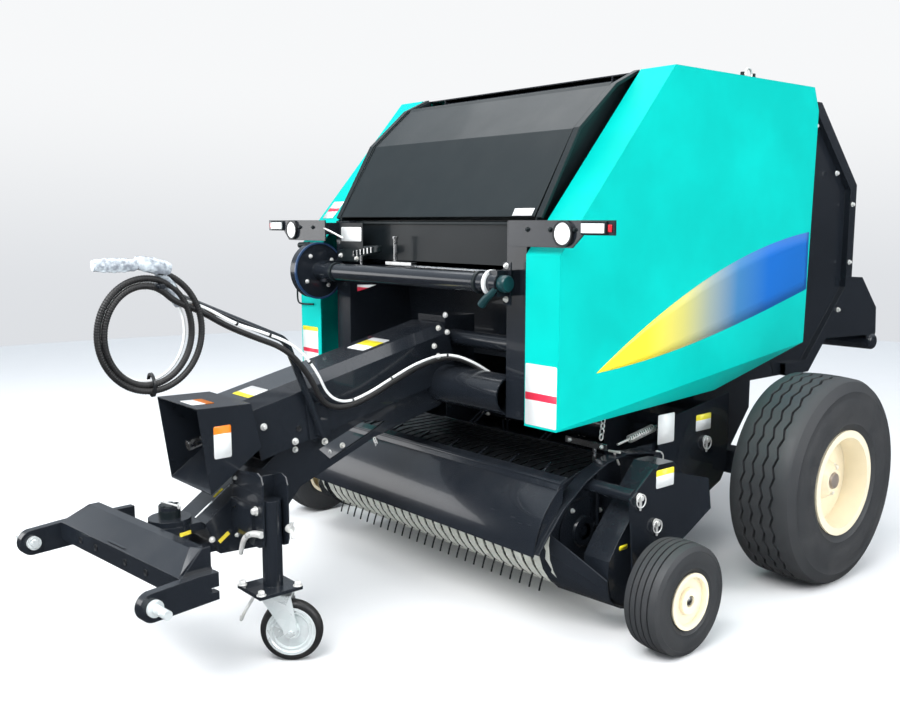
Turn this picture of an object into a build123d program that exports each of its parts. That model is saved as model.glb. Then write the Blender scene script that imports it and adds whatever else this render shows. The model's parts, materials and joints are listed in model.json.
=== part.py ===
"""Towed round baler with a fixed roller chamber, parked on its wheels and drawbar jack.

Frame: +X is the machine's left side, +Y is rearward, +Z is up. The ground is z = 0 and the
origin is under the middle of the machine's length and width. All sizes are in millimetres.
"""
from math import atan2, cos, degrees, hypot, radians, sin, tan
import os

from build123d import *

# ---------------------------------------------------------------- running gear
axle_y = 580                # axle line, behind the origin
tyre_r = 422.5              # 11.5/80-15.3 tyre
tyre_w = 290
wheel_x = 1030              # middle of the tyre from the centre plane
bead_r = 197                # where tyre and rim meet
rim_half = 134              # half width of the rim over its flanges
flange_r = 212.5
rim_wall = 6
disc_inset = 100            # rim disc behind the outer flange
hub_r = 78
stub_r = 40                 # wheel stub on the axle
pin_gap = 0.3               # running clearance round pins and shafts
axle_size = 100
axle_wall = 10

# ---------------------------------------------------------------- bale chamber
chamber_y = axle_y + 535    # centre of the octagonal chamber
chamber_z = 1368
apothem = 650               # centre to each flat of the chamber wall
wall_x = 500                # outer face of the chamber side walls
wall_t = 6
gate_gap = 6                # between the front walls and the tailgate
roller_count = 16           # places round the chamber, the crop inlet takes one
roller_ring = 555           # radius of the roller axes
roller_r = 88
roller_wall = 5
journal_r = 22
inlet_place = 9             # roller place left open for the crop
gate_places = (0, 1, 2, 3, 4, 12, 13, 14, 15)
hinge_y = 930               # tailgate hinge
split_y = 890               # rear edge of the front walls at the hinge
split_low_z = 1300          # where the split starts to slope to the bottom
hinge_pin_r = 22
lug_t = 14                  # hinge lugs on the front walls
arm_x0, arm_x1 = 519, 531   # hinge arms of the tailgate
gate_open = 65              # degrees

# ---------------------------------------------------------------- gate cylinders
base_y, base_z = 850, 880           # barrel pin on the front wall
eye_y, eye_z = 1190, 1740           # rod pin on the tailgate
cylinder_x = 572
barrel_r, barrel_len = 32, 600
ram_r = 16
eye_pin_r = 18
eye_r = 32

# ---------------------------------------------------------------- front frame
post_x0, post_x1 = wall_x - wall_t, 594
post_y0, post_y1 = -650, -590
box_floor = 1458            # underside of the net box
box_back = -106             # rear face of the net box
post_z0, post_z1 = 750, box_floor
tube_y, tube_z, tube_r = -625, 825, 75      # fat cross tube
bar_y, bar_z, bar_r = -739, 1243, 36        # net roll carrier bar
cup_r = 122
cover_front = -705
cover_x0, cover_x1 = 646, 806
cover_t = 4
roof_z = 2010
roof_t = 5
hinge_z = roof_z - 35
cover_top = roof_z + 4
cover_hinge_x, cover_hinge_z = 638, roof_z
knuckle_r, knuckle_len = 8, 60
hinge_starts = (-60, 340, 700)      # front ends of the fixed cover knuckles
cover_open = 60             # degrees

# ---------------------------------------------------------------- drawbar and PTO line
draw_half = 95
tunnel_half = 125
tunnel_wall = 4
tunnel_h = 216
tunnel_bevel = 35
tunnel_y0, tunnel_z0 = -1500, 854           # front end of the tunnel's top
tunnel_slope = degrees(atan2(1077 - 854, 950))
tunnel_len = 905
hood_half = 152
shaft_r = 30
spline_r = 17.3
pivot_y = -1735
yoke_yaw = 5.5

# ---------------------------------------------------------------- pickup
lift_y, lift_z = 293, 553           # lift pivot
reel_y, reel_z = -455, 330          # reel axis
band_r = 215
band_t = 2.5
band_half = 694
band_count = 27
band_gap = 14
tip_r = 246
tine_r = 4
tine_bars = 4
end_t = 8
guard_y, guard_z = -110, 558        # windguard pivot
guard_half = band_half + 64
gauge_y, gauge_r = -434, 195
gauge_x0, gauge_x1 = 1032, 1178

# ---------------------------------------------------------------- jack
jack_x, jack_y = 280, -1507
leg_r = 33
caster_y, caster_r = jack_y + 59, 105       # axle before the caster is turned
caster_w = 45
caster_yaw = -40.3


def across(x):
    """Sketch plane square to the X axis: local x is +Y, local y is +Z."""
    return Plane(origin=(x, 0, 0), x_dir=(0, 1, 0), z_dir=(1, 0, 0))


def slab(outline, x0, x1, mode=Mode.ADD):
    """Plate with a closed (y, z) outline that fills x0 to x1."""
    with BuildSketch(across(x0)) as face:
        with BuildLine():
            Polyline(*outline, close=True)
        make_face()
    extrude(face.sketch, amount=x1 - x0, mode=mode)


def strip(path, width, x0, x1, mode=Mode.ADD):
    """Sheet of the given thickness along an open (y, z) path, from x0 to x1."""
    with BuildSketch(across(x0)) as face:
        with BuildLine() as line:
            Polyline(*path)
        trace(line.line, line_width=width)
    extrude(face.sketch, amount=x1 - x0, mode=mode)


def rod(y, z, r, x0, x1, mode=Mode.ADD):
    """Round bar along X."""
    with BuildSketch(across(x0)) as face:
        with Locations((y, z)):
            Circle(r)
    extrude(face.sketch, amount=x1 - x0, mode=mode)


def block(x0, x1, y0, y1, z0, z1, mode=Mode.ADD):
    """Box between two corners."""
    with Locations(((x0 + x1) / 2, (y0 + y1) / 2, (z0 + z1) / 2)):
        Box(abs(x1 - x0), abs(y1 - y0), abs(z1 - z0), mode=mode)


def turned(outline, x, y, z, out, mode=Mode.ADD):
    """Body of revolution about an X line through (y, z); outline points are
    (distance outward from x, radius)."""
    plane = Plane(origin=(x, y, z), x_dir=(out, 0, 0), z_dir=(0, -out, 0))
    with BuildSketch(plane) as face:
        with BuildLine():
            Polyline(*outline, close=True)
        make_face()
    revolve(face.sketch, Axis((x, y, z), (1, 0, 0)), mode=mode)


def channel(y, z):
    """Cross beam between the side walls: a channel open below."""
    reach, half = wall_x - wall_t, beam / 2
    block(-reach, reach, y - half, y + half, z - half, z + half)
    block(-reach, reach, y - half + beam_wall, y + half - beam_wall, z - half, z + half - beam_wall,
          Mode.SUBTRACT)


def save(part, name):
    """Label a finished piece and write its STEP file."""
    part.label = name
    export_step(part, f"parts/{name}.step")


def bar_along_y(x, z, r, y0, y1, mode=Mode.ADD):
    """Round bar along Y."""
    with BuildSketch(Plane(origin=(x, y0, z), x_dir=(-1, 0, 0), z_dir=(0, 1, 0))) as face:
        Circle(r)
    extrude(face.sketch, amount=y1 - y0, mode=mode)


def polar(y, z, r, angle):
    """Point at radius r and angle (from +Y towards +Z) about (y, z)."""
    return (y + r * cos(radians(angle)), z + r * sin(radians(angle)))


os.makedirs("parts", exist_ok=True)
sides = ((1, "left"), (-1, "right"))

# ================================================================ wheels
rim_inner = bead_r - 14
groove_w, groove_d = 11, 13
tread = [(-108, tyre_r - 5)]
for middle in (-64, -22, 22, 64):
    low, high = middle - groove_w / 2, middle + groove_w / 2
    tread += [(low, tyre_r), (low, tyre_r - groove_d), (high, tyre_r - groove_d), (high, tyre_r)]
tread.append((108, tyre_r - 5))
tyre_outline = [(-118, bead_r), (-tyre_w / 2, 290), (-tyre_w / 2, 335), (-124, 400)] + tread + [
                (124, 400), (tyre_w / 2, 335), (tyre_w / 2, 290), (118, bead_r), (98, bead_r), (122, 290), (122, 335), (96, 386), (-96, 386), (-122, 335),
                (-122, 290), (-98, bead_r)]
rim_outline = [(-rim_half, flange_r), (-124, flange_r), (-118, bead_r), (118, bead_r),
               (124, flange_r), (rim_half, flange_r), (rim_half, rim_inner),
               (-rim_half, rim_inner)]
disc_x = rim_half - disc_inset
for side, name in sides:
    with BuildPart() as tyre:
        turned(tyre_outline, side * wheel_x, axle_y, tyre_r, side)
    save(tyre.part, f"tyre_{name}")

    with BuildPart() as rim:
        turned(rim_outline, side * wheel_x, axle_y, tyre_r, side)
        turned([(disc_x - 10, 0), (disc_x, 0), (disc_x, rim_inner), (disc_x - 10, rim_inner)],
               side * wheel_x, axle_y, tyre_r, side)
        turned([(-60, 0), (disc_x + 52, 0), (disc_x + 52, 44), (disc_x + 20, hub_r),
                (-60, hub_r)], side * wheel_x, axle_y, tyre_r, side)
        turned([(-60, 0), (disc_x + 30, 0), (disc_x + 30, stub_r + pin_gap),
                (-60, stub_r + pin_gap)], side * wheel_x, axle_y, tyre_r, side, Mode.SUBTRACT)
    save(rim.part, f"rim_{name}")

with BuildPart() as axle_beam:
    top_z = tyre_r + axle_size / 2
    block(-840, 840, axle_y - axle_size / 2, axle_y + axle_size / 2, top_z - axle_size, top_z)
    block(-760, 760, axle_y - axle_size / 2 + axle_wall, axle_y + axle_size / 2 - axle_wall,
          top_z - axle_size, top_z - axle_wall, Mode.SUBTRACT)
    rod(axle_y, tyre_r, stub_r, 800, wheel_x + disc_x + 25)
    rod(axle_y, tyre_r, stub_r, -800, -(wheel_x + disc_x + 25))
    for side, name in sides:
        slab([(axle_y - 70, top_z), (axle_y - 110, 760), (axle_y + 110, 760), (axle_y + 70, top_z)],
             side * wall_x, side * (wall_x + 20))
        slab([(445, 742), (880, 800), (880, 600), (740, top_z - 40), (445, top_z - 40)],
             side * (wall_x + 20), side * (wall_x + 26))
save(axle_beam.part, "axle_beam")

# ================================================================ chamber front frame
corner = apothem * tan(radians(22.5))
octagon = [(chamber_y + corner, chamber_z + apothem), (chamber_y + apothem, chamber_z + corner),
           (chamber_y + apothem, chamber_z - corner), (chamber_y + corner, chamber_z - apothem)]
wall_bottom = chamber_z - apothem
front_outline = [(post_y1, post_z0), (post_y1, box_floor), (-300, box_floor),
                 (box_back, box_floor + 38), (box_back, roof_z - roof_t),
                 (split_y, roof_z - roof_t), (split_y, split_low_z),
                 (chamber_y, wall_bottom), (560, wall_bottom), (430, 640), (430, 400),
                 (20, 400), (-100, 480), (-100, 700)]
rotor_y, rotor_z, rotor_r = 80, 600, 190
rotor_shaft = 30
beam = 60                    # cross beams are channels, open below
beam_wall = 6
cross_beams = ((-70, roof_z - 50), (split_y - 60, roof_z - 50), (390, 440), (-540, 1425))  # centre y, z
with BuildPart() as chamber_frame:
    slab(front_outline, wall_x - wall_t, wall_x)
    rod(rotor_y, rotor_z, rotor_shaft + pin_gap, wall_x - wall_t, wall_x, Mode.SUBTRACT)
    slab([(hinge_y - 80, hinge_z + 28), (hinge_y + 28, hinge_z + 28), (hinge_y + 28, hinge_z - 28),
          (hinge_y - 80, hinge_z - 150)], wall_x, wall_x + lug_t)
    rod(hinge_y, hinge_z, hinge_pin_r, wall_x, arm_x1 + 4)
    rod(base_y, base_z, eye_pin_r, wall_x, cylinder_x + 20)
    mirror(about=Plane.YZ)
    for beam_y, beam_z in cross_beams:
        channel(beam_y, beam_z)
save(chamber_frame.part, "chamber_frame")

floor_r = rotor_r + 18
floor_path = ([polar(rotor_y, rotor_z, floor_r, a) for a in range(200, 311, 22)]
              + [(745, 835)])
with BuildPart() as feed_floor:
    strip(floor_path, 5, wall_t - wall_x, wall_x - wall_t)
    strip([(-330, 1250), (-300, 900), (-60, 850), (470, 1080)], 5,
          wall_t - wall_x, wall_x - wall_t)
save(feed_floor.part, "feed_floor")


def rollers(places):
    """Chamber rollers with their journals, at the given places of the ring."""
    for place in places:
        y, z = polar(chamber_y, chamber_z, roller_ring, 11.25 + 22.5 * place)
        reach = wall_x - wall_t - 8
        rod(y, z, roller_r, -reach, reach)
        rod(y, z, roller_r - roller_wall, -reach, reach, Mode.SUBTRACT)
        for end in (reach - 20, 12 - reach):
            rod(y, z, roller_r - roller_wall, end, end + 8)
            with BuildSketch(across(end)) as holes:
                with Locations((y, z)):
                    with PolarLocations(50, 3):
                        Circle(15)
            extrude(holes.sketch, amount=8, mode=Mode.SUBTRACT)
        rod(y, z, journal_r, wall_t - wall_x, wall_x - wall_t)


front_places = [p for p in range(roller_count) if p not in gate_places and p != inlet_place]
with BuildPart() as front_rollers:
    rollers(front_places)
save(front_rollers.part, "front_rollers")

with BuildPart() as front_posts:
    for side, name in sides:
        block(side * post_x0, side * post_x1, post_y0, post_y0 + 6, post_z0, post_z1)
        block(side * post_x0, side * (post_x0 + 6), post_y0, post_y1, post_z0, post_z1)
        block(side * (post_x1 - 6), side * post_x1, post_y0, post_y1, post_z0, post_z1)
        block(side * post_x0, side * post_x1, post_y1 - 6, post_y1, post_z0, post_z1)
save(front_posts.part, "front_posts")

with BuildPart() as cross_tube:
    rod(tube_y, tube_z, tube_r, -post_x0, post_x0)
cross_tube_envelope = cross_tube.part
with BuildPart() as cross_tube:
    rod(tube_y, tube_z, tube_r, -post_x0, post_x0)
    rod(tube_y, tube_z, tube_r - 8, -post_x0, post_x0, Mode.SUBTRACT)
save(cross_tube.part, "cross_tube")

with BuildPart() as roof_sheet:
    roof_half = cover_hinge_x - knuckle_r - 2
    block(-roof_half, roof_half, box_back, split_y - 20, roof_z - roof_t, roof_z)
    for side, name in sides:
        for start in hinge_starts:
            block(side * roof_half, side * cover_hinge_x, start, start + knuckle_len,
                  roof_z - roof_t, roof_z)
            bar_along_y(side * cover_hinge_x, cover_hinge_z, knuckle_r, start, start + knuckle_len)
            bar_along_y(side * cover_hinge_x, cover_hinge_z, knuckle_r / 2, start,
                        start + 2 * knuckle_len + 5)
save(roof_sheet.part, "roof_sheet")

# ================================================================ net box and lid
cheek_x = 602
lid_t = 4
lid_half = cheek_x - 5
lid_bend = box_floor + 0.592 * (roof_z - box_floor)
lid_hinge_y, lid_hinge_z, lid_pin_r = -214, roof_z - 58, 10
lid_path = [(-617, 1473), (-426, lid_bend), (-233, lid_hinge_z - 2)]
slope_path = [(-617, box_floor + 10), (-430, lid_bend), (-236, lid_hinge_z), (box_back - 4, roof_z)]
lid_open = 60               # degrees
with BuildPart() as net_box:
    slab(slope_path + [(box_back, roof_z), (box_back, box_floor + 38), (-300, box_floor),
                       (-617, box_floor)], cheek_x, cheek_x + 6)
    strip(slope_path, 12, cheek_x + 6, cheek_x + 32)
    mirror(about=Plane.YZ)
    strip([(-560, box_floor + 2), (-300, box_floor + 2), (box_back - 2, box_floor + 40),
           (box_back - 2, roof_z - 85)], 4, -cheek_x, cheek_x)
    rod(lid_hinge_y, lid_hinge_z, lid_pin_r, -cheek_x, cheek_x)
save(net_box.part, "net_box")

with BuildPart() as net_lid:
    strip(lid_path + [(lid_hinge_y - 8, lid_hinge_z + 12)], lid_t, -lid_half, lid_half)
    rod(lid_hinge_y, lid_hinge_z, lid_pin_r + 5, -lid_half, lid_half)
    rod(lid_hinge_y, lid_hinge_z, lid_pin_r + pin_gap, -lid_half, lid_half, Mode.SUBTRACT)
save(net_lid.part, "net_lid")

with BuildPart() as roll_carrier:
    rod(bar_y, bar_z, bar_r, -post_x1 - 4, 560)
    rod(bar_y, bar_z, cup_r, -post_x1 - 46, -post_x1 - 4)
    for side in (1, -1):
        block(side * 560, side * 520, bar_y - 20, post_y0, bar_z - 45, bar_z + 45)
save(roll_carrier.part, "roll_carrier")

# ================================================================ side covers
cover_outline = [(cover_front, 749), (cover_front, 1345), (-120, cover_top), (829, cover_top),
                 (870, 1920), (837, 935), (313, 770)]
crease_z, crease_slope, facet_fall = 757, 0.1154, 1.215     # bevelled lower outer edge
for side, name in sides:
    with BuildPart() as cover:
        slab(cover_outline, side * cover_x0, side * cover_x1)
        split(bisect_by=Plane(origin=(side * cover_x1, cover_front, crease_z),
                              z_dir=(-side * facet_fall, -crease_slope, 1)), keep=Keep.TOP)
        inner = cover.faces().sort_by(Axis.X)[0 if side > 0 else -1]
        offset(amount=-cover_t, openings=inner)
        for start in hinge_starts:
            near, far = start + knuckle_len + 1, start + 2 * knuckle_len + 1
            block(side * cover_hinge_x, side * (cover_x0 + 20), near, far, roof_z, cover_top)
            bar_along_y(side * cover_hinge_x, cover_hinge_z, knuckle_r, near, far)
            bar_along_y(side * cover_hinge_x, cover_hinge_z, knuckle_r / 2 + pin_gap, near, far,
                        Mode.SUBTRACT)
    save(cover.part, f"cover_{name}")

# ================================================================ drawbar and PTO line
rise = tan(radians(tunnel_slope))


def tunnel_floor(y):
    """Height of the tunnel's underside, which lies on the drawbar."""
    return tunnel_z0 + (y - tunnel_y0) * rise - tunnel_h / cos(radians(tunnel_slope))


knee_y = -1352
draw_outline = [(-1652, 453), (knee_y, tunnel_floor(knee_y)), (tube_y, tunnel_floor(tube_y)),
                (tube_y, 735), (-953, 650), (-1280, 517), (-1445, 331), (-1601, 339)]
fork_r, fork_top, fork_low = 62, (425, 453), (339, 375)
king_r = 25
with BuildPart() as drawbar:
    slab(draw_outline, -draw_half, draw_half)
    slab([(-1330, tunnel_floor(-1330) - 16), (-760, tunnel_floor(-760) - 16), (-760, 690),
          (-953, 640), (-1270, 520)], 10 - draw_half, draw_half, Mode.SUBTRACT)
    slab(draw_outline, draw_half - 10, draw_half)
    slab([(-1200, 640), (-1000, 720), (-900, 705), (-960, 675), (-1150, 595)], draw_half - 10, draw_half,
         Mode.SUBTRACT)
    for low, high in (fork_top, fork_low):
        block(-fork_r, fork_r, pivot_y, -1600, low, high)
        with Locations((0, pivot_y, (low + high) / 2)):
            Cylinder(fork_r, high - low)
            Cylinder(king_r + pin_gap, high - low, mode=Mode.SUBTRACT)
    add(cross_tube_envelope, mode=Mode.SUBTRACT)
save(drawbar.part, "drawbar")

along = (0, cos(radians(tunnel_slope)), sin(radians(tunnel_slope)))
mouth = Plane(origin=(0, tunnel_y0, tunnel_z0), x_dir=(-1, 0, 0), z_dir=along)


def tunnel_section(half, top, low):
    """Tunnel cross-section with bevelled top edges, in the mouth plane."""
    return [(-half, low), (-half, top - tunnel_bevel), (tunnel_bevel - half, top),
            (half - tunnel_bevel, top), (half, top - tunnel_bevel), (half, low)]


with BuildPart() as pto_tunnel:
    with BuildSketch(mouth):
        with BuildLine():
            Polyline(*tunnel_section(tunnel_half, 0, -tunnel_h), close=True)
        make_face()
        offset(amount=-tunnel_wall, mode=Mode.SUBTRACT)
    extrude(amount=tunnel_len)
    add(cross_tube_envelope, mode=Mode.SUBTRACT)
save(pto_tunnel.part, "pto_tunnel")

back_depth = 160
hood_back = (tunnel_y0 + back_depth * along[2], tunnel_z0 - back_depth * along[1])
with BuildPart() as pto_hood:
    slab([(-1695, 858), (tunnel_y0, tunnel_z0), hood_back, (-1655, 565)], -hood_half, hood_half)
    front = pto_hood.faces().sort_by(Axis.Y)[0]
    offset(amount=-tunnel_wall, openings=front)
    with BuildSketch(mouth):
        with Locations((0, -82)):
            Rectangle(200, 132)
    extrude(amount=-20, mode=Mode.SUBTRACT)
save(pto_hood.part, "pto_hood")

shaft_drop = 108
shaft_end = 888
with BuildPart() as drive_shaft:
    with BuildSketch(mouth.offset(-110)):
        with Locations((0, -shaft_drop)):
            Circle(shaft_r)
    extrude(amount=110 + shaft_end)
    with BuildSketch(mouth.offset(-190)):
        with Locations((0, -shaft_drop)):
            Circle(spline_r)
    extrude(amount=80)
save(drive_shaft.part, "drive_shaft")

with BuildPart() as gearbox:
    block(-85, 85, -596, -440, 862, 1085)
    with BuildSketch(mouth.offset(shaft_end + pin_gap)):
        with Locations((0, -shaft_drop)):
            Circle(42)
    extrude(amount=60)
    rod(-550, 1000, 32, 85, post_x0)
    add(cross_tube_envelope, mode=Mode.SUBTRACT)
    add(pto_tunnel.part, mode=Mode.SUBTRACT)
save(gearbox.part, "gearbox")

# ================================================================ hitch yoke
yoke_half = 395
arm_t = 30
link_y, link_z, link_r = pivot_y - 300, 362, 14
link_len = 80
yaw_axis = Axis((0, pivot_y, 0), (0, 0, 1))
ridge_z, ridge_half = 468, 330           # the beam's ridge is shorter than its foot
with BuildPart() as hitch_yoke:
    strip([(pivot_y - 196, 352), (pivot_y - 196, 412), (pivot_y - 120, ridge_z),
           (pivot_y - 90, ridge_z), (pivot_y - 90, 400)], 10, -yoke_half, yoke_half)
    with BuildSketch(Plane.XZ.offset(-pivot_y)):
        with BuildLine():
            Polyline((-yoke_half, 330), (yoke_half, 330), (yoke_half, 412), (ridge_half, ridge_z + 12),
                     (-ridge_half, ridge_z + 12), (-yoke_half, 412), close=True)
        make_face()
    extrude(amount=250, both=True, mode=Mode.INTERSECT)
    for side, rear, web_top in ((1, pivot_y - 83, 486), (-1, pivot_y + 80, 430)):
        near, far = side * yoke_half, side * (yoke_half + arm_t)
        slab([(link_y, link_z - 44), (rear, 326), (rear, 412), (pivot_y - 150, 414),
              (link_y, link_z + 44)], near, far)
        rod(link_y, link_z, 44, near, far)
        rod(link_y, link_z, link_r + pin_gap, near, far, Mode.SUBTRACT)
        slab([(rear - 26, 352), (rear + 1, 352), (rear + 1, 367), (rear - 26, 367)], near, far, Mode.SUBTRACT)
        slab([(pivot_y - 192, 356), (pivot_y - 192, 410), (pivot_y - 120, web_top), (pivot_y - 90, web_top),
              (pivot_y - 90, 356)], near - side * 8, near)
    block(-55, 55, pivot_y - 196, pivot_y, fork_low[1] + pin_gap, fork_top[0] - pin_gap)
    with Locations((0, pivot_y, (fork_low[1] + fork_top[0]) / 2)):
        Cylinder(55, fork_top[0] - fork_low[1] - 2 * pin_gap)
        Cylinder(king_r + pin_gap, 60, mode=Mode.SUBTRACT)
save(hitch_yoke.part.rotate(yaw_axis, yoke_yaw), "hitch_yoke")

with BuildPart() as link_pins:
    inner, outer = yoke_half, yoke_half + arm_t
    rod(link_y, link_z, link_r, inner - 22, outer + link_len)
    rod(link_y, link_z, 23, inner - 16, inner)
    rod(link_y, link_z, 23, outer, outer + 10)
    mirror(about=Plane.YZ)
save(link_pins.part.rotate(yaw_axis, yoke_yaw), "link_pins")

with BuildPart() as king_pin:
    with Locations((0, pivot_y, 420)):
        Cylinder(king_r, 192)
    with Locations((0, pivot_y, fork_top[1] + 10)):
        Cylinder(71, 20)
    with Locations((0, pivot_y, fork_top[1] + 20 + 20)):
        Cylinder(36, 40)
save(king_pin.part, "king_pin")

# ================================================================ jack
clamp_t, clamp_gap = 6, leg_r + 3      # clamp plates stand in front of and behind the leg
clamp_low, clamp_high = 392, 645
with BuildPart() as jack_sleeve:
    for y0, reach, top in ((jack_y - clamp_gap - clamp_t, 300, clamp_high),
                           (jack_y + clamp_gap, 323, clamp_high - 8)):
        with BuildSketch(Plane(origin=(0, y0 + clamp_t, 0), x_dir=(1, 0, 0), z_dir=(0, -1, 0))) as face:
            with BuildLine():
                Polyline((draw_half, clamp_low), (reach - 30, clamp_low), (reach - 8, clamp_low + 9),
                         (reach, clamp_low + 30), (reach, top - 34), (reach - 10, top - 10),
                         (reach - 34, top), (draw_half, top - 20), close=True)
            make_face()
        extrude(face.sketch, amount=clamp_t)
    block(jack_x - leg_r - 9, jack_x - leg_r - 3, jack_y - clamp_gap, jack_y + clamp_gap,
          clamp_low, clamp_high - 20)
    block(draw_half, jack_x - leg_r - 9, jack_y - 50, jack_y - clamp_gap - clamp_t, 430, 530)
save(jack_sleeve.part, "jack_sleeve")

leg_low, leg_high = 262, 553
with BuildPart() as jack_leg:
    with Locations((jack_x, jack_y, (leg_low + leg_high) / 2)):
        Cylinder(leg_r, leg_high - leg_low)
    block(jack_x - 73, jack_x + 77, jack_y - 93, jack_y + 67, leg_low - 12, leg_low)
save(jack_leg.part, "jack_leg")

jack_axis = Axis((jack_x, jack_y, 0), (0, 0, 1))
fork_in = caster_w / 2 + 5
with BuildPart() as caster_fork:
    with Locations((jack_x, jack_y, 240)):
        Cylinder(42, 20 - 2 * pin_gap)
    block(jack_x - fork_in - 6, jack_x + fork_in + 6, jack_y - 42, jack_y + 62, 222, 232)
    for near, far in ((fork_in, fork_in + 6), (-fork_in, -fork_in - 6)):
        slab([(jack_y - 42, 232), (caster_y - 24, caster_r + 8), (caster_y - 20, caster_r - 14),
              (caster_y, caster_r - 22), (caster_y + 20, caster_r - 14), (caster_y + 24, caster_r + 8),
              (jack_y + 62, 232)], jack_x + near, jack_x + far)
    rod(caster_y, caster_r, 8, jack_x - fork_in - 14, jack_x + fork_in + 14)
save(caster_fork.part.rotate(jack_axis, caster_yaw), "caster_fork")

with BuildPart() as caster_wheel:
    half = caster_w / 2
    turned([(-half, 8 + pin_gap), (half, 8 + pin_gap), (half, 92), (half - 8, caster_r),
            (8 - half, caster_r), (-half, 92)], jack_x, caster_y, caster_r, 1)
save(caster_wheel.part.rotate(jack_axis, caster_yaw), "caster_wheel")

# ================================================================ side frame plates
pin_r = 15
plate_x0, plate_x1 = band_half + 10, band_half + 16
ties = ((60, 665), (330, 690), (300, 430))
for side, name in sides:
    with BuildPart() as side_frame:
        slab([(-26, 679), (440, 747), (440, 430), (400, 372), (253, 311), (117, 337), (-33, 503)],
             side * plate_x0, side * plate_x1)
        for tie_y, tie_z in ties:
            rod(tie_y, tie_z, 25, side * wall_x, side * plate_x0)
        rod(lift_y, lift_z, pin_r, side * (band_half - 18), side * plate_x0)
    save(side_frame.part, f"side_frame_{name}")

# ================================================================ feed rotor
with BuildPart() as feed_rotor:
    rod(rotor_y, rotor_z, rotor_shaft, -wall_x - 6, wall_x + 6)
    rod(rotor_y, rotor_z, 70, -480, 480)
    for place in range(12):
        x = -429 + 78 * place
        with BuildSketch(Plane.XY) as tine_pair:
            with Locations((x - 24, (60 + rotor_r) / 2), (x + 24, (60 + rotor_r) / 2)):
                Rectangle(10, rotor_r - 60)
        tine = extrude(tine_pair.sketch, amount=12, both=True, mode=Mode.PRIVATE)
        spun = tine.rotate(Axis.X, 150 + 60 * place)
        add(spun.translate((0, rotor_y, rotor_z)))
save(feed_rotor.part, "feed_rotor")

# ================================================================ pickup
end_x0, end_x1 = band_half, band_half + end_t
arm_in = end_x0 - end_t
back_path = [(-190, 128), (-176, 330), (-176, 540)]
tube_end_y, tube_end_z = -467, 515
carrier_x0 = gauge_x0 - 82
carrier_x1 = carrier_x0 + 8
deflector_x1 = 920
deflector_edge = ((-566, 223), (-560, 180), (-545, 146), (-520, 122), (-490, 106), (-460, 98), (-430, 95))


def sheet_outline(edge):
    """Closed outline of a 5 mm sheet whose outer side is the edge, thickened towards the reel."""
    inner = []
    for y, z in edge:
        reach = hypot(y - reel_y, z - reel_z)
        inner.append((y + (reel_y - y) * 5 / reach, z + (reel_z - z) * 5 / reach))
    return list(edge) + inner[::-1]


with BuildPart() as pickup_frame:
    slab([polar(reel_y, reel_z, 222, a) for a in range(100, 281, 18)]
         + [(-180, 150), (-60, 330), (-60, 590), (-300, 600)], end_x0, end_x1)
    rod(reel_y, reel_z, 20 + pin_gap, end_x0, end_x1, Mode.SUBTRACT)
    slab([(-140, 595), (-120, 430), (lift_y, lift_z - 35), (lift_y + 40, lift_z),
          (lift_y, lift_z + 35)], arm_in, end_x0)
    rod(lift_y, lift_z, pin_r + pin_gap, arm_in, end_x0, Mode.SUBTRACT)
    rod(tube_end_y, tube_end_z, 25, end_x1, carrier_x0)
    inner_edge = [polar(reel_y, reel_z, 225, a) for a in (165, 183, 201, 219, 237, 255, 273)]
    with BuildSketch(across(end_x1)) as inner_face:
        with BuildLine():
            Polyline(*sheet_outline(inner_edge), close=True)
        make_face()
    with BuildSketch(across(deflector_x1)) as outer_face:
        with BuildLine():
            Polyline(*sheet_outline(deflector_edge), close=True)
        make_face()
    loft(sections=[inner_face.sketch, outer_face.sketch], ruled=True)
    rod(guard_y, guard_z, 14, end_x1, guard_half + 24)
    mirror(about=Plane.YZ)
    strip(back_path, 4, -end_x0, end_x0)
    rod(-150, 420, 30, -end_x0, end_x0)
save(pickup_frame.part, "pickup_frame")

band_pitch = 2 * band_half / band_count
band_path = ([(-178, reel_z + band_r)]
             + [polar(reel_y, reel_z, band_r, a) for a in range(90, 271, 15)]
             + [(-190, reel_z - band_r + 3)])
with BuildPart() as pickup_bands:
    with BuildSketch(across(-band_half + band_gap / 2)) as profile:
        with BuildLine() as line:
            Polyline(*band_path)
        trace(line.line, line_width=band_t)
    extrude(profile.sketch, amount=band_pitch - band_gap)
    strip_one = pickup_bands.part
    for number in range(1, band_count):
        add(strip_one.translate((number * band_pitch, 0, 0)))
    for x0 in (band_half, -band_half - band_pitch):
        with BuildSketch(across(x0 + band_gap / 2)) as profile:
            with BuildLine() as line:
                Polyline(*band_path[6:])
            trace(line.line, line_width=band_t)
        extrude(profile.sketch, amount=band_pitch - band_gap)
    block(-band_half, band_half, -196, -178, reel_z + band_r - 8, reel_z + band_r + 1)
    block(-band_half, band_half, -205, -189, reel_z - band_r + 2, reel_z - band_r + 10)
    add(pickup_frame.part, mode=Mode.SUBTRACT)
save(pickup_bands.part, "pickup_bands")

bar_ring = 150
with BuildPart() as pickup_reel:
    rod(reel_y, reel_z, 20, -end_x1 - 8, end_x1 + 8)
    for x in (12 - band_half, 0, band_half - 18):
        rod(reel_y, reel_z, bar_ring + 18, x, x + 6)
    tine_len = tip_r - bar_ring
    for bar in range(tine_bars):
        angle = 45 + 360 / tine_bars * bar
        y, z = polar(reel_y, reel_z, bar_ring, angle)
        rod(y, z, 13, 10 - band_half, band_half - 10)
        middle = polar(reel_y, reel_z, bar_ring + tine_len / 2, angle)
        places = [Location((-band_half + number * band_pitch, *middle), (angle, 0, 0))
                  for number in range(1, band_count)]
        with Locations(*places):
            Box(2 * tine_r - 2, tine_len, 2 * tine_r - 2)
save(pickup_reel.part, "pickup_reel")

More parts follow.
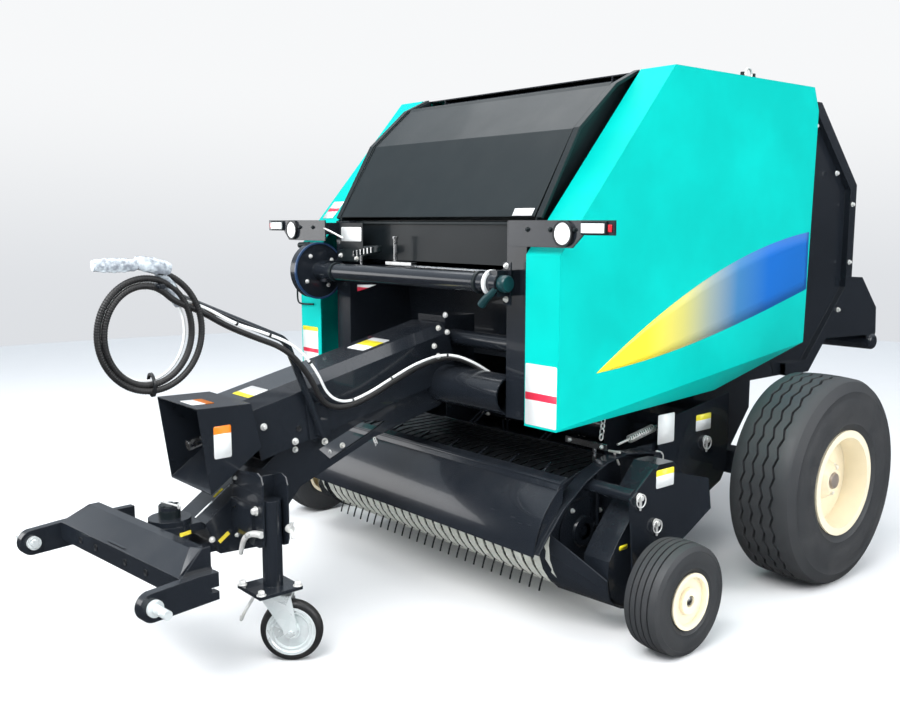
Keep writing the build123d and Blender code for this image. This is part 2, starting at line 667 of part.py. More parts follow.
for side, name in sides:
    with BuildPart() as wheel_carrier:
        slab([(-378, 600), (-45, 510), (-25, 390), (-205, 300), (-380, 262), (-395, 180),
              (gauge_y, 155), (-473, 180), (-478, 300), (-500, 510)],
             side * carrier_x0, side * carrier_x1)
        rod(gauge_y, gauge_r, 20, side * carrier_x1, side * (gauge_x1 - 40))
    save(wheel_carrier.part, f"wheel_carrier_{name}")

    gauge_x = side * (gauge_x0 + gauge_x1) / 2
    half = (gauge_x1 - gauge_x0) / 2
    with BuildPart() as gauge_tyre:
        turned([(14 - half, 92), (-half, 120), (-half, 160), (16 - half, 188), (28 - half, gauge_r),
                (half - 28, gauge_r), (half - 16, 188), (half, 160), (half, 120), (half - 14, 92)],
               gauge_x, gauge_y, gauge_r, side)
    save(gauge_tyre.part, f"gauge_tyre_{name}")
    with BuildPart() as gauge_rim:
        turned([(8 - half, 98), (14 - half, 92), (half - 14, 92), (half - 8, 98), (half - 2, 98),
                (half - 2, 84), (half - 20, 84), (half - 20, 45), (half - 6, 45), (half - 6, 20.3),
                (20 - half, 20.3), (20 - half, 45), (half - 28, 45), (half - 28, 84),
                (8 - half, 84)], gauge_x, gauge_y, gauge_r, side)
    save(gauge_rim.part, f"gauge_rim_{name}")

case_x0, case_x1 = end_x1 + 98, end_x1 + 213
with BuildPart() as drive_case:
    slab([(-200, 590), (-290, 592), (-506, 353), (-552, 288), (-556, 228), (-536, 155), (-510, 132),
          (-482, 118), (-450, 112), (-410, 115), (-330, 180), (-120, 430), (-140, 530)],
         case_x0, case_x1)
    block(end_x1, case_x0, -360, -260, 330, 450)
save(drive_case.part, "drive_case")

# ================================================================ windguard
guard_bulge = 30
guard_top, guard_low = (-624, 540), (-764, 312)
guard_arm0, guard_arm1 = band_half + 20, band_half + 78
with BuildPart() as windguard:
    with BuildSketch(across(-guard_half)) as profile:
        with BuildLine() as line:
            SagittaArc(guard_low, guard_top, guard_bulge)
        trace(line.line, line_width=4)
    extrude(profile.sketch, amount=2 * guard_half)
    rod(guard_top[0] - 5, guard_top[1] + 6, 9, -guard_half, guard_half)
    for side in (1, -1):
        strip([(guard_y, guard_z + 22), (-200, 594), (-295, 606), (-400, 590), (-513, 540), (-630, 458),
               (-716, 365), (-752, 318)], 6, side * guard_arm0, side * guard_arm1)
        rod(guard_y, guard_z, 26, side * guard_arm0, side * guard_arm1)
        rod(guard_y, guard_z, 14 + pin_gap, side * guard_arm0, side * guard_arm1, Mode.SUBTRACT)
        slab([(-632, 545), (-618, 545), (-622, 480), (-690, 392), (-744, 318), (-762, 318),
              (-714, 440)], side * (guard_half - 8), side * (guard_half - 2))
save(windguard.part, "windguard")

# ================================================================ tailgate
gate_edge = split_y + gate_gap
gate_outline = [(gate_edge, split_low_z), (gate_edge, hinge_z), (hinge_y + 10, octagon[0][1]),
                octagon[0], octagon[1], octagon[2], octagon[3],
                (chamber_y + gate_gap, wall_bottom)]
rim_w, rim_t = 60, 30
inset = (apothem - rim_w / 2) / apothem
rim_path = ([(hinge_y + 90, chamber_z + apothem - rim_w / 2)]
            + [(chamber_y + (y - chamber_y) * inset, chamber_z + (z - chamber_z) * inset)
               for y, z in octagon]
            + [(chamber_y + 60, wall_bottom + rim_w / 2)])
with BuildPart() as gate_frame:
    slab(gate_outline, wall_x - wall_t, wall_x)
    strip(rim_path, rim_w, wall_x, wall_x + rim_t)
    strip(rim_path, rim_w - 12, wall_x, wall_x + rim_t - 6, Mode.SUBTRACT)
    slab([(hinge_y - 28, hinge_z + 20), (hinge_y + 20, hinge_z + 30), (hinge_y + 130, hinge_z + 43),
          (hinge_y + 130, hinge_z - 16), (hinge_y + 10, hinge_z - 34), (hinge_y - 28, hinge_z - 24)],
         arm_x0, arm_x1)
    block(wall_x, arm_x0, hinge_y + 90, hinge_y + 130, hinge_z - 16, hinge_z + 42)
    rod(hinge_y, hinge_z, hinge_pin_r + pin_gap, arm_x0, arm_x1, Mode.SUBTRACT)
    rod(eye_y, eye_z, eye_pin_r, wall_x, cylinder_x - 20)
    mirror(about=Plane.YZ)
    for angle in (-67.5, -22.5, 22.5, 67.5):
        y, z = polar(chamber_y, chamber_z, apothem + 8, angle)
        channel(y, z)
save(gate_frame.part, "gate_frame")

with BuildPart() as gate_rollers:
    rollers(gate_places)
save(gate_rollers.part, "gate_rollers")

guard_rear = 2119
rear_bar_y, rear_bar_z, rear_bar_r = 2072, 811, 43
gate_rear = chamber_y + apothem
with BuildPart() as rear_guard:
    strip([(gate_rear + 1, 1170), (1937, 1160), (2105, 993), (guard_rear - 3, 858)], 6,
          6 - wall_x, wall_x - 6)
    for side in (1, -1):
        slab([(gate_rear, 1173), (1938, 1163), (2108, 994), (guard_rear, 858), (2096, 812),
              (2036, 812), (2016, 850), (gate_rear - 231, 866), (gate_rear + 0.5, 1098)],
             side * (wall_x - 6), side * wall_x)
    rod(rear_bar_y, rear_bar_z, rear_bar_r, -wall_x - 20, wall_x + 20, Mode.SUBTRACT)
save(rear_guard.part, "rear_guard")

with BuildPart() as rear_bar:
    rod(rear_bar_y, rear_bar_z, rear_bar_r, -wall_x - 20, wall_x + 20)
    fillet(rear_bar.edges().filter_by(GeomType.CIRCLE), 20)
save(rear_bar.part, "rear_bar")

# ================================================================ gate cylinders
cylinder_len = hypot(eye_y - base_y, eye_z - base_z)
lean = degrees(atan2(eye_z - base_z, eye_y - base_y))
ram_dir = (0, cos(radians(lean)), sin(radians(lean)))
for side, name in sides:
    x = side * cylinder_x
    base = Plane(origin=(x, base_y, base_z), x_dir=(1, 0, 0), z_dir=ram_dir)
    with BuildPart() as barrel:
        with BuildSketch(base.offset(34)):
            Circle(barrel_r)
        extrude(amount=barrel_len - 34)
        with BuildSketch(base.offset(10)):
            Rectangle(24, 30)
        extrude(amount=24)
        rod(base_y, base_z, eye_r, x - 12, x + 12)
        rod(base_y, base_z, eye_pin_r + pin_gap, x - 12, x + 12, Mode.SUBTRACT)
        with BuildSketch(base.offset(60)):
            Circle(ram_r + pin_gap)
        extrude(amount=barrel_len, mode=Mode.SUBTRACT)
    save(barrel.part, f"gate_barrel_{name}")
    with BuildPart() as ram:
        with BuildSketch(base.offset(80)):
            Circle(ram_r)
        extrude(amount=cylinder_len - 80 - eye_r + 6)
        rod(eye_y, eye_z, eye_r, x - 12, x + 12)
        rod(eye_y, eye_z, eye_pin_r, x - 12, x + 12, Mode.SUBTRACT)
    save(ram.part, f"gate_ram_{name}")

# ================================================================ lamps, net feed, hose rod
plate_y0, plate_y1 = -722, -716
lamp_z = 1436
with BuildPart() as lamp_brackets:
    with BuildSketch(Plane(origin=(0, plate_y1, 0), x_dir=(1, 0, 0), z_dir=(0, -1, 0))) as face:
        with BuildLine():
            Polyline((575, bar_z + cup_r + 7), (873, bar_z + cup_r + 7), (919, 1414), (1050, 1414),
                     (1050, 1461), (575, 1461), close=True)
        make_face()
    extrude(face.sketch, amount=plate_y1 - plate_y0)
    block(575, 590, plate_y1, post_y0, 1400, 1450)
    mirror(about=Plane.YZ)
save(lamp_brackets.part, "lamp_brackets")

with BuildPart() as front_lamps:
    block(922, 1014, plate_y0 - 14, plate_y0, lamp_z - 15, lamp_z + 15)
    with Locations(Location((838, plate_y0 - 5, 1418), (90, 0, 0))):
        Cylinder(37, 10)
    mirror(about=Plane.YZ)
save(front_lamps.part, "front_lamps")

with BuildPart() as net_feed:
    rod(-570, 1268, 11, wall_t - wall_x, wall_x - wall_t)
    rod(-530, 1355, 30, wall_t - wall_x, wall_x - wall_t)
    rod(-462, 1365, 30, wall_t - wall_x, wall_x - wall_t)
save(net_feed.part, "net_feed")

# ================================================================ hose holder, hose and cable
rod_r = 12.5
holder_x = 150
bend_y, bend_z = -1363, 1057        # elbow of the holder
peg_y, peg_z = -1833, 1264          # peg that carries the coil


def pipe(points, r, radii):
    """Round bar along runs between points, with an arc of the given radius at each corner."""
    with BuildLine() as line:
        FilletPolyline(*points, radius=radii)
    with BuildSketch(Plane(origin=line.line @ 0, z_dir=line.line % 0)) as face:
        Circle(r)
    sweep(face.sketch, path=line.line)


with BuildPart() as hose_holder:
    pipe([(holder_x, -1215, 700), (holder_x, bend_y, bend_z), (holder_x, peg_y, peg_z)], rod_r, 60)
    rod(peg_y, peg_z, 8, holder_x, holder_x + 95)
    slab([(-1260, 690), (-1170, 690), (-1190, 820), (-1275, 820)], tunnel_half, tunnel_half + 8)
    block(tunnel_half + 8, holder_x, -1240, -1195, 705, 760)
save(hose_holder.part, "hose_holder")

coil_x = holder_x + 50
coil_y, coil_z = -1855, 1131
coil_half, coil_straight, coil_r = 150, 40, 30      # bend radius, straight part, section
with BuildPart() as hose_coil:
    for end in (1, -1):
        with BuildSketch(Plane.XY.offset(coil_z + end * coil_straight / 2)) as section:
            with Locations((coil_x, coil_y + coil_half)):
                Circle(coil_r)
        revolve(section.sketch, Axis((coil_x, coil_y, coil_z + end * coil_straight / 2), (1, 0, 0)),
                revolution_arc=180 * end)
    for end in (1, -1):
        with Locations((coil_x, coil_y + end * coil_half, coil_z)):
            Cylinder(coil_r, coil_straight)
save(hose_coil.part, "hose_coil")

hose_r, cable_r = 10.5, 5
hose_points = [(300, -582, 886), (240, -620, 935), (168, -700, 940), (160, -850, 890),
               (160, -1010, 818), (158, -1130, 790), (165, -1225, 825), (190, -1285, 930),
               (194, -1375, 1025), (176, -1490, 1064), (190, -1590, 1085), (200, -1695, 1108)]
cable_points = [(340, -590, 891), (300, -640, 945), (222, -705, 972), (186, -810, 945),
                (184, -925, 898), (186, -1030, 852), (184, -1130, 826), (192, -1215, 862),
                (214, -1270, 950), (224, -1355, 1045), (200, -1470, 1098), (196, -1565, 1135),
                (200, -1692, 1180)]


def bend_radii(points):
    """Arc radius at each corner: 0.45 of the shorter run over the tangent of half the turn."""
    corners = []
    for before, corner, after in zip(points, points[1:], points[2:]):
        first, second = Vector(*corner) - Vector(*before), Vector(*after) - Vector(*corner)
        half_turn = radians(first.get_angle(second)) / 2
        corners.append(0.45 * min(first.length, second.length) / tan(half_turn))
    return corners


for points, r, name in ((hose_points, hose_r, "hose_run"), (cable_points, cable_r, "cable_run")):
    radii = bend_radii(points)
    print(name, "bend radii", [round(radius) for radius in radii])
    with BuildPart() as run:
        pipe(points, r, radii)
    save(run.part, name)

with BuildPart() as hose_plugs:
    with BuildSketch(across(coil_x - 22)) as wrap:
        with BuildLine():
            Polyline((-2012, 1318), (-1945, 1350), (-1870, 1336), (-1800, 1318), (-1745, 1255),
                     (-1762, 1236), (-1815, 1280), (-1890, 1300), (-2005, 1296), close=True)
        make_face()
    extrude(wrap.sketch, amount=44)
save(hose_plugs.part, "hose_plugs")


# ================================================================ hose fittings on the roof
fit_x, fit_y = 515, 785
with BuildPart() as top_fittings:
    block(fit_x - 30, fit_x + 30, fit_y - 90, fit_y + 90, roof_z, roof_z + 8)
    block(fit_x - 4, fit_x + 4, fit_y - 80, fit_y + 80, roof_z, roof_z + 70)
    for y in (fit_y - 55, fit_y, fit_y + 55):
        rod(y, roof_z + 50, 14, fit_x - 34, fit_x + 34)
        with Locations((fit_x + 24, y, roof_z + 80)):
            Cylinder(11, 60)
save(top_fittings.part, "top_fittings")
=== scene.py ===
"""Looks of the round baler: paint, rubber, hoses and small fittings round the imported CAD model.

Everything is in metres in the CAD frame: +X is the machine's left side, +Y is rearward and
+Z is up. A shape is a pair of points and faces, worked out with whole arrays.
"""
import json
import math

import bmesh
import bpy
import numpy as np
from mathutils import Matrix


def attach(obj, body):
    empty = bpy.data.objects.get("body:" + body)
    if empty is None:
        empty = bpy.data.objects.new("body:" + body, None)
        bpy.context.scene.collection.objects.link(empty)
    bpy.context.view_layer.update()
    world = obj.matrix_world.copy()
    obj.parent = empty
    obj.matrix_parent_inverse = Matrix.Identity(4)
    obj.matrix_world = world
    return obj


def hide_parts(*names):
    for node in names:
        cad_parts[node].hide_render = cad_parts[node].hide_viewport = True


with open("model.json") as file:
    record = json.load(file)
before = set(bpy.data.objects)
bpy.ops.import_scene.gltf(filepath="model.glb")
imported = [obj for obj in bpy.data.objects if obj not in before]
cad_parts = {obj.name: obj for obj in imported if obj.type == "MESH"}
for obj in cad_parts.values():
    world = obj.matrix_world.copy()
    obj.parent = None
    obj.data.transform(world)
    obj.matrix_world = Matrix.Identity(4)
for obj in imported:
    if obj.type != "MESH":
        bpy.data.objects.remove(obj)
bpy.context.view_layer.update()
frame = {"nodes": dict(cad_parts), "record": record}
turn = 2 * math.pi
sides = ((1, "left"), (-1, "right"))


# ================================================================ shader tools
class Signal:
    """One output of a shader node; arithmetic on it adds Math nodes."""

    def __init__(self, finish, socket):
        self.finish, self.socket = finish, socket

    def maths(self, operation, first, second):
        """The operation on two values or signals, as one Math node."""
        return self.finish.node("Math", {"operation": operation}, {0: first, 1: second})

    def __add__(self, other):
        return self.maths("ADD", self, other)

    def __mul__(self, other):
        return self.maths("MULTIPLY", self, other)

    __radd__, __rmul__ = __add__, __mul__

    def step(self, low, high):
        """Rises smoothly from 0 at low to 1 at high."""
        return self.finish.node("MapRange", {"interpolation_type": "SMOOTHSTEP"},
                                {0: self, 1: low, 2: high, 3: 0.0, 4: 1.0})


class Finish:
    """A procedural material round one Principled shader."""

    def __init__(self, name, roughness=0.5, metallic=0.0, coat=0.0, gloss=0.5):
        self.material = bpy.data.materials.new(name)
        self.material.use_nodes = True
        self.tree = self.material.node_tree
        self.shader = next(n for n in self.tree.nodes if n.type == "BSDF_PRINCIPLED")
        self.place = self.node("TexCoord", out="Object")
        for socket, value in (("Roughness", roughness), ("Metallic", metallic),
                              ("Coat Weight", coat), ("Coat Roughness", 0.05),
                              ("Specular IOR Level", gloss), ("IOR", 1.45)):
            self.shader.inputs[socket].default_value = value

    def feed(self, socket, value):
        """Links a signal to a socket, or sets the socket to a number or colour."""
        if isinstance(value, Signal):
            self.tree.links.new(value.socket, socket)
        elif hasattr(value, "__len__") and len(value) == 3 and socket.type == "RGBA":
            socket.default_value = (*value, 1.0)
        else:
            socket.default_value = value

    def node(self, kind, settings=None, inputs=None, out=0):
        """Any shader node: its settings are set first, then its sockets' values or links."""
        made = self.tree.nodes.new("ShaderNode" + kind)
        for key, value in (settings or {}).items():
            if key == "stops":
                ramp = made.color_ramp
                while len(ramp.elements) < len(value):
                    ramp.elements.new(1.0)
                for element, (position, colour) in zip(ramp.elements, value):
                    element.position, element.color = position, (*colour, 1.0)
            else:
                setattr(made, key, value)
        for key, value in (inputs or {}).items():
            self.feed(made.inputs[key], value)
        return Signal(self, made.outputs[out])

    def set(self, socket, value):
        """Feeds one of the shader's own sockets."""
        self.feed(self.shader.inputs[socket], value)
        return self

    def noise(self, scale, detail=3.0, roughness=0.55):
        """Cloudy values from 0 to 1, fixed to the object."""
        return self.node("TexNoise", None, {"Vector": self.place, "Scale": scale,
                                            "Detail": detail, "Roughness": roughness})

    def along(self, axis):
        """The object coordinate X, Y or Z."""
        return self.node("SeparateXYZ", None, {0: self.place}, out=axis)

    def mix(self, factor, first, second):
        """The first colour where factor is 0, the second where it is 1."""
        return self.node("Mix", {"data_type": "RGBA"}, {0: factor, 6: first, 7: second}, out=2)

    def relief(self, height, distance, strength=1.0, rounded=0.0):
        """Bump from a height signal, over edges rounded by the given radius."""
        inputs = {"Height": height, "Distance": distance, "Strength": strength}
        if rounded:
            inputs["Normal"] = self.node("Bevel", {"samples": 6}, {"Radius": rounded})
        return self.set("Normal", self.node("Bump", None, inputs, out="Normal"))

    def upward(self):
        """How far the surface faces up, from -1 to 1."""
        normal = self.node("NewGeometry", out="Normal")
        return self.node("SeparateXYZ", None, {0: normal}, out="Z")


def shade(colour, factor):
    """The colour times a factor, held below 1."""
    return tuple(min(1.0, c * factor) for c in colour)


def paint(name, colour, roughness=0.28, coat=0.6, rounded=0.003, dust=0.12, gloss=0.5,
          dust_colour=(0.35, 0.33, 0.3)):
    """Sprayed enamel: faint cloudiness, orange peel and a little dust on what faces up."""
    finish = Finish(name, roughness, coat=coat, gloss=gloss)
    cloud = finish.noise(2.2, 4.0).step(0.3, 0.7)
    base = finish.mix(cloud, shade(colour, 0.9), shade(colour, 1.08))
    dusty = finish.upward().step(0.25, 0.95) * finish.noise(9.0, 6.0, 0.7).step(0.35, 0.75) * dust
    finish.set("Base Color", finish.mix(dusty, base, dust_colour))
    finish.set("Roughness", finish.noise(6.0, 5.0) * 0.12 + dusty * 0.5 + (roughness - 0.06))
    return finish.relief(finish.noise(420.0, 2.0), 0.0004, 0.35, rounded)


def plated(name, colour, roughness=0.32, tint=(0.75, 0.7, 0.55), scale=70.0, rounded=0.0012,
           metallic=1.0):
    """Zinc or galvanised steel: crystal patches that differ in tone and gloss."""
    finish = Finish(name, roughness, metallic=metallic)
    grain = finish.node("TexVoronoi", None, {"Vector": finish.place, "Scale": scale}, out="Color")
    tone = finish.node("SeparateXYZ", None, {0: grain}, out="X")
    stain = finish.noise(14.0, 5.0).step(0.45, 0.75)
    base = finish.mix(tone, shade(colour, 0.9), shade(colour, 1.06))
    finish.set("Base Color", finish.mix(stain * 0.35, base, tint))
    finish.set("Roughness", tone * 0.16 + stain * 0.15 + (roughness - 0.1))
    return finish.relief(tone + finish.noise(90.0), 0.0003, 0.3, rounded)


def rubber(name, colour, roughness=0.62, dust=0.25, dust_colour=(0.2, 0.18, 0.16), pitch=180.0):
    """Moulded rubber with a fine grain, a soft bloom and dust on what faces up."""
    finish = Finish(name, roughness)
    bloom = finish.noise(7.0, 6.0, 0.65).step(0.35, 0.75)
    dusty = bloom * dust + finish.upward().step(0.2, 1.0) * dust
    finish.set("Base Color", finish.mix(dusty, colour, dust_colour))
    finish.set("Roughness", bloom * 0.18 + (roughness - 0.05))
    return finish.relief(finish.noise(pitch, 4.0), 0.0006, 0.5)


def plastic(name, colour, roughness=0.4, coat=0.0, pitch=300.0, rounded=0.0015):
    """Moulded plastic with a fine leathered grain and slight tone changes."""
    finish = Finish(name, roughness, coat=coat)
    tone = finish.noise(12.0, 3.0).step(0.3, 0.7)
    finish.set("Base Color", finish.mix(tone, shade(colour, 0.92), shade(colour, 1.06)))
    finish.set("Roughness", tone * 0.1 + (roughness - 0.05))
    return finish.relief(finish.noise(pitch, 3.0), 0.0003, 0.4, rounded)


# ================================================================ shape tools
def quads(grid, around=False, along=False):
    """Faces between neighbouring points of a grid; around closes its second parameter and
    along its first."""
    rows, columns = grid.shape[:2]
    i = np.arange(rows if along else rows - 1)[:, None]
    j = np.arange(columns if around else columns - 1)[None, :]
    i2, j2 = (i + 1) % rows, (j + 1) % columns
    corners = [i * columns + j, i * columns + j2, i2 * columns + j2, i2 * columns + j]
    return grid.reshape(-1, 3), [np.stack(corners, -1).reshape(-1, 4)]


def join(*shapes):
    """Several shapes as one."""
    points = np.concatenate([p for p, _ in shapes])
    starts = np.cumsum([0] + [len(p) for p, _ in shapes])
    return points, [f + start for (_, groups), start in zip(shapes, starts) for f in groups]


def unit(vector):
    """Vectors over their own length."""
    vector = np.asarray(vector, float)
    return vector / np.linalg.norm(vector, axis=-1, keepdims=True)


def copies(shape, places, out=(0, 0, 1), up=None, size=1.0):
    """The shape at each place, its own z turned to out and its own x towards up. Each point
    is place + x * x_axis + y * y_axis + z * out."""
    places = np.atleast_2d(np.asarray(places, float))
    out = unit(np.broadcast_to(np.asarray(out, float), places.shape))
    guide = np.where(np.abs(out[:, 2:]) < 0.9, (0.0, 0.0, 1.0), (0.0, 1.0, 0.0)) if up is None \
        else np.broadcast_to(np.asarray(up, float), places.shape)
    y_axis = unit(np.cross(out, guide))
    x_axis = np.cross(y_axis, out)
    points, groups = shape
    axes = np.stack([x_axis, y_axis, out], 1) * size
    moved = points @ axes + places[:, None]
    shift = (np.arange(len(places)) * len(points))[:, None, None]
    return moved.reshape(-1, 3), [(f[None] + shift).reshape(-1, f.shape[1]) for f in groups]


def lathe(profile, steps=24):
    """Surface of revolution about z: each (radius, height) of the profile goes once round."""
    radius, height = np.asarray(profile, float).T
    angle = np.linspace(0, turn, steps, endpoint=False)
    grid = np.stack([np.outer(radius, np.cos(angle)), np.outer(radius, np.sin(angle)),
                     np.repeat(height[:, None], steps, 1)], -1)
    return quads(grid, around=True)


def ring_profile(inner, outer, low, high):
    """The closed (radius, height) rectangle that turns into a plain ring."""
    return [(inner, low), (outer, low), (outer, high), (inner, high), (inner, low)]


def prism(outline, depth):
    """A closed (x, y) outline swept from z = 0 to z = depth, with flat ends."""
    outline = np.asarray(outline, float)
    count = len(outline)
    rings = np.stack([np.column_stack([outline, np.full(count, z)]) for z in (0.0, depth)])
    points, walls = quads(rings, around=True)
    ends = np.arange(count)[None]
    return points, walls + [ends[:, ::-1], ends + count]


def block(low, high):
    """Box between two corners."""
    (x0, y0, z0), (x1, y1, z1) = low, high
    points, faces = prism([(x0, y0), (x1, y0), (x1, y1), (x0, y1)], z1 - z0)
    return points + (0, 0, z0), faces


def plate(outline, x0, x1):
    """A closed (y, z) outline that fills x0 to x1."""
    points, faces = prism(outline, x1 - x0)
    return points[:, [2, 0, 1]] + (x0, 0, 0), faces


def curve_through(points, count=60):
    """Points on a uniform cubic that passes near the given ones (a B-spline with its ends
    repeated), count of them, evenly spaced in parameter."""
    points = np.asarray(points, float)
    padded = np.concatenate([2 * points[:1] - points[1:2], points, 2 * points[-1:] - points[-2:-1]])
    t = np.linspace(0, len(points) - 1 - 1e-9, count)
    k, f = np.floor(t).astype(int), (t % 1)[:, None]
    a, b, c, d = padded[k], padded[k + 1], padded[k + 2], padded[k + 3]
    return (a * (1 - f) ** 3 + b * (3 * f ** 3 - 6 * f ** 2 + 4)
            + c * (-3 * f ** 3 + 3 * f ** 2 + 3 * f + 1) + d * f ** 3) / 6


def tube(path, radius, sides=10, guide=(0.31, 0.17, 0.93)):
    """A circle carried along a path: each ring is the path point plus radius * (cos * side +
    sin * up), where side and up are square to the path. Its ends are closed to a point."""
    path = np.asarray(path, float)
    heading = unit(np.gradient(path, axis=0))
    side = unit(np.cross(heading, guide))
    up = np.cross(side, heading)
    radius = np.broadcast_to(np.asarray(radius, float), len(path)).copy()
    angle = np.linspace(0, turn, sides, endpoint=False)
    rings = (path[:, None] + radius[:, None, None]
             * (np.cos(angle)[:, None] * side[:, None] + np.sin(angle)[:, None] * up[:, None]))
    ends = [np.repeat(path[k][None, None], sides, 1) for k in (0, -1)]
    return quads(np.concatenate([ends[0], rings, ends[1]]), around=True)


def rods(*runs, radius=0.005, sides=10, smooth=0):
    """Round bars along several runs of points; with smooth, each bar follows that many points
    of the curve through its run."""
    return join(*[tube(curve_through(run, smooth) if smooth else np.array(run, float), radius,
                       sides) for run in runs])


def mirrored(shape):
    """The shape and its reflection in the centre plane."""
    points, groups = shape
    return join(shape, (points * (-1, 1, 1), [f[:, ::-1] for f in groups]))


def piece(name, shape, finish, body, bevel=0.0, thickness=0.0, sharp=38, stands_for=()):
    """Puts a shape into the scene as one object that rides on a CAD body."""
    points, groups = shape
    mesh = bpy.data.meshes.new(name)
    mesh.from_pydata(points.tolist(), [], [face for f in groups for face in f.tolist()])
    work = bmesh.new()
    work.from_mesh(mesh)
    bmesh.ops.remove_doubles(work, verts=work.verts, dist=1e-6)
    bmesh.ops.dissolve_degenerate(work, edges=work.edges, dist=1e-7)
    bmesh.ops.recalc_face_normals(work, faces=work.faces)
    work.to_mesh(mesh)
    work.free()
    mesh.polygons.foreach_set("use_smooth", np.full(len(mesh.polygons), not thickness))
    mesh.set_sharp_from_angle(angle=math.radians(sharp))
    made = bpy.data.objects.new(name, mesh)
    bpy.context.scene.collection.objects.link(made)
    mesh.materials.append(finish.material)
    if thickness:
        wall = made.modifiers.new("wall", "SOLIDIFY")
        wall.thickness, wall.offset = thickness, 0.0
    if bevel:
        edge = made.modifiers.new("edge", "BEVEL")
        edge.width, edge.segments, edge.limit_method = bevel, 2, "ANGLE"
        edge.angle_limit = math.radians(40)
    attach(made, body)
    if stands_for:
        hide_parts(*stands_for)
    return made


# ================================================================ finishes
turquoise = paint("turquoise_enamel", (0.0005, 0.47, 0.415), 0.46, 0.0, 0.005, dust=0.0, gloss=0.05)
charcoal = paint("charcoal_enamel", (0.010, 0.015, 0.017), 0.40, 0.08, 0.004, dust=0.03, gloss=0.25)
dark = paint("dark_blue_enamel", (0.012, 0.015, 0.020), 0.24, 0.42, 0.003, dust=0.03, gloss=0.4)
cream = paint("cream_enamel", (0.86, 0.76, 0.56), 0.32, 0.25, 0.003, dust=0.05, gloss=0.3)
zinc = plated("zinc_plate", (0.84, 0.84, 0.82), 0.36, scale=40.0, metallic=0.45)
bright = plated("turned_steel", (0.56, 0.57, 0.58), 0.26, (0.5, 0.47, 0.42), 40.0)
chrome = plated("chrome_rod", (0.8, 0.81, 0.83), 0.14, (0.7, 0.7, 0.7), 15.0)
tread = rubber("tyre_rubber", (0.034, 0.036, 0.039), 0.55, 0.05)
hose_rubber = rubber("hose_rubber", (0.012, 0.012, 0.013), 0.42, 0.06)
black_plastic = plastic("black_plastic", (0.012, 0.013, 0.015), 0.35)
white_plastic = plastic("white_plastic", (0.8, 0.81, 0.8), 0.35)
hub_metal = plated("hub_cap_metal", (0.40, 0.34, 0.30), 0.4, (0.3, 0.24, 0.2), 30.0, metallic=0.6)
# A darker, duller copy of the charcoal paint for the net recess: painted shade.
recess_shade_paint = paint("recess_shade_enamel", (0.008, 0.011, 0.013), 0.35, 0.1, 0.002, dust=0.0,
                   gloss=0.2)
teal = paint("teal_knob", (0.004, 0.035, 0.04), 0.4, 0.2, 0.003)
blue_rim = paint("blue_rim_enamel", (0.02, 0.05, 0.12), 0.3, 0.4, 0.002)
disc_zinc = plated("bright_zinc", (0.76, 0.80, 0.80), 0.34, (0.6, 0.72, 0.7), 25.0, metallic=0.4)
strip_zinc = plated("pickup_strip", (0.62, 0.63, 0.57), 0.42, (0.5, 0.5, 0.42), 60.0, metallic=0.25)
strip_colour = Signal(strip_zinc, strip_zinc.shader.inputs["Base Color"].links[0].from_socket)
# The strips turn near black towards the top, from z 0.36 to 0.44.
dark_towards_top = strip_zinc.along("Z").step(0.36, 0.44)
strip_zinc.set("Base Color", strip_zinc.mix(dark_towards_top, strip_colour, (0.010, 0.012, 0.014)))
red_lens = plastic("red_reflector", (0.5, 0.01, 0.02), 0.2, 0.5)
marks = Finish("yellow_mark", 0.4)
marks.set("Base Color", marks.mix(marks.noise(60.0).step(0.4, 0.6), (0.8, 0.62, 0.04),
                                  (0.9, 0.74, 0.06)))
by_slot = {"turquoise_paint": turquoise, "charcoal_paint": charcoal, "dark_paint": dark,
           "rim_paint": cream, "galvanised": strip_zinc, "zinc": zinc, "bright_steel": bright,
           "chrome_rod": chrome, "tyre_rubber": tread, "rubber": hose_rubber,
           "black_rubber": hose_rubber, "white_cable": white_plastic,
           "clear_plastic": white_plastic, "lamp_lens": white_plastic}
for part in frame["record"]["subparts"]:
    node = frame["nodes"][part["node"]]
    node.data.materials.clear()
    node.data.materials.append(by_slot[part["material_slot"]].material)
for name, finish in (("king_pin", dark), ("net_feed", dark), ("caster_fork", disc_zinc),
                     ("link_pins", disc_zinc)):
    frame["nodes"][name].data.materials[0] = finish.material

white, yellow = (0.86, 0.87, 0.86), (0.86, 0.74, 0.03)
orange, red = (0.86, 0.22, 0.01), (0.78, 0.03, 0.07)
film_thickness, soft_edge = 0.0008, 0.0004


def label_finish(name, bands, axis="Z"):
    """The film of a blank sign: bands are (start, colour) pairs along an axis, and each colour
    begins at its start."""
    finish = Finish(name, 0.3, coat=0.3)
    colour = finish.mix(0.0, bands[0][1], bands[0][1])
    for start, next_colour in bands[1:]:
        above = finish.along(axis).step(start - soft_edge, start + soft_edge)
        colour = finish.mix(above, colour, next_colour)
    return finish.set("Base Color", colour)


# ================================================================ bolts
washer_height = 0.002
stub = lathe([(0, 0), (0.012, 0), (0.012, 0.010), (0.0085, 0.014), (0, 0.014)], 6)
washer = lathe([(0, 0), (0.016, 0), (0.016, washer_height), (0, washer_height)], 20)
bolt = join(washer, (stub[0] + (0, 0, washer_height), stub[1]))
quarters = np.radians([35, 125, 215, 305])


def bolts(name, body, rows, finish=zinc):
    """Hex bolts with washers: each row is (places, direction, size), a copy of one bolt per
    place."""
    piece(name, join(*[copies(bolt, places, out, size=size) for places, out, size in rows]), finish,
          body)


# ================================================================ wheels
axle_y, tyre_r, wheel_x = 0.580, 0.4225, 1.030
gauge_y, gauge_r, gauge_x = -0.434, 0.195, 1.105
nut_ring, nut_face, nut_count = 0.105, 1.064, 6


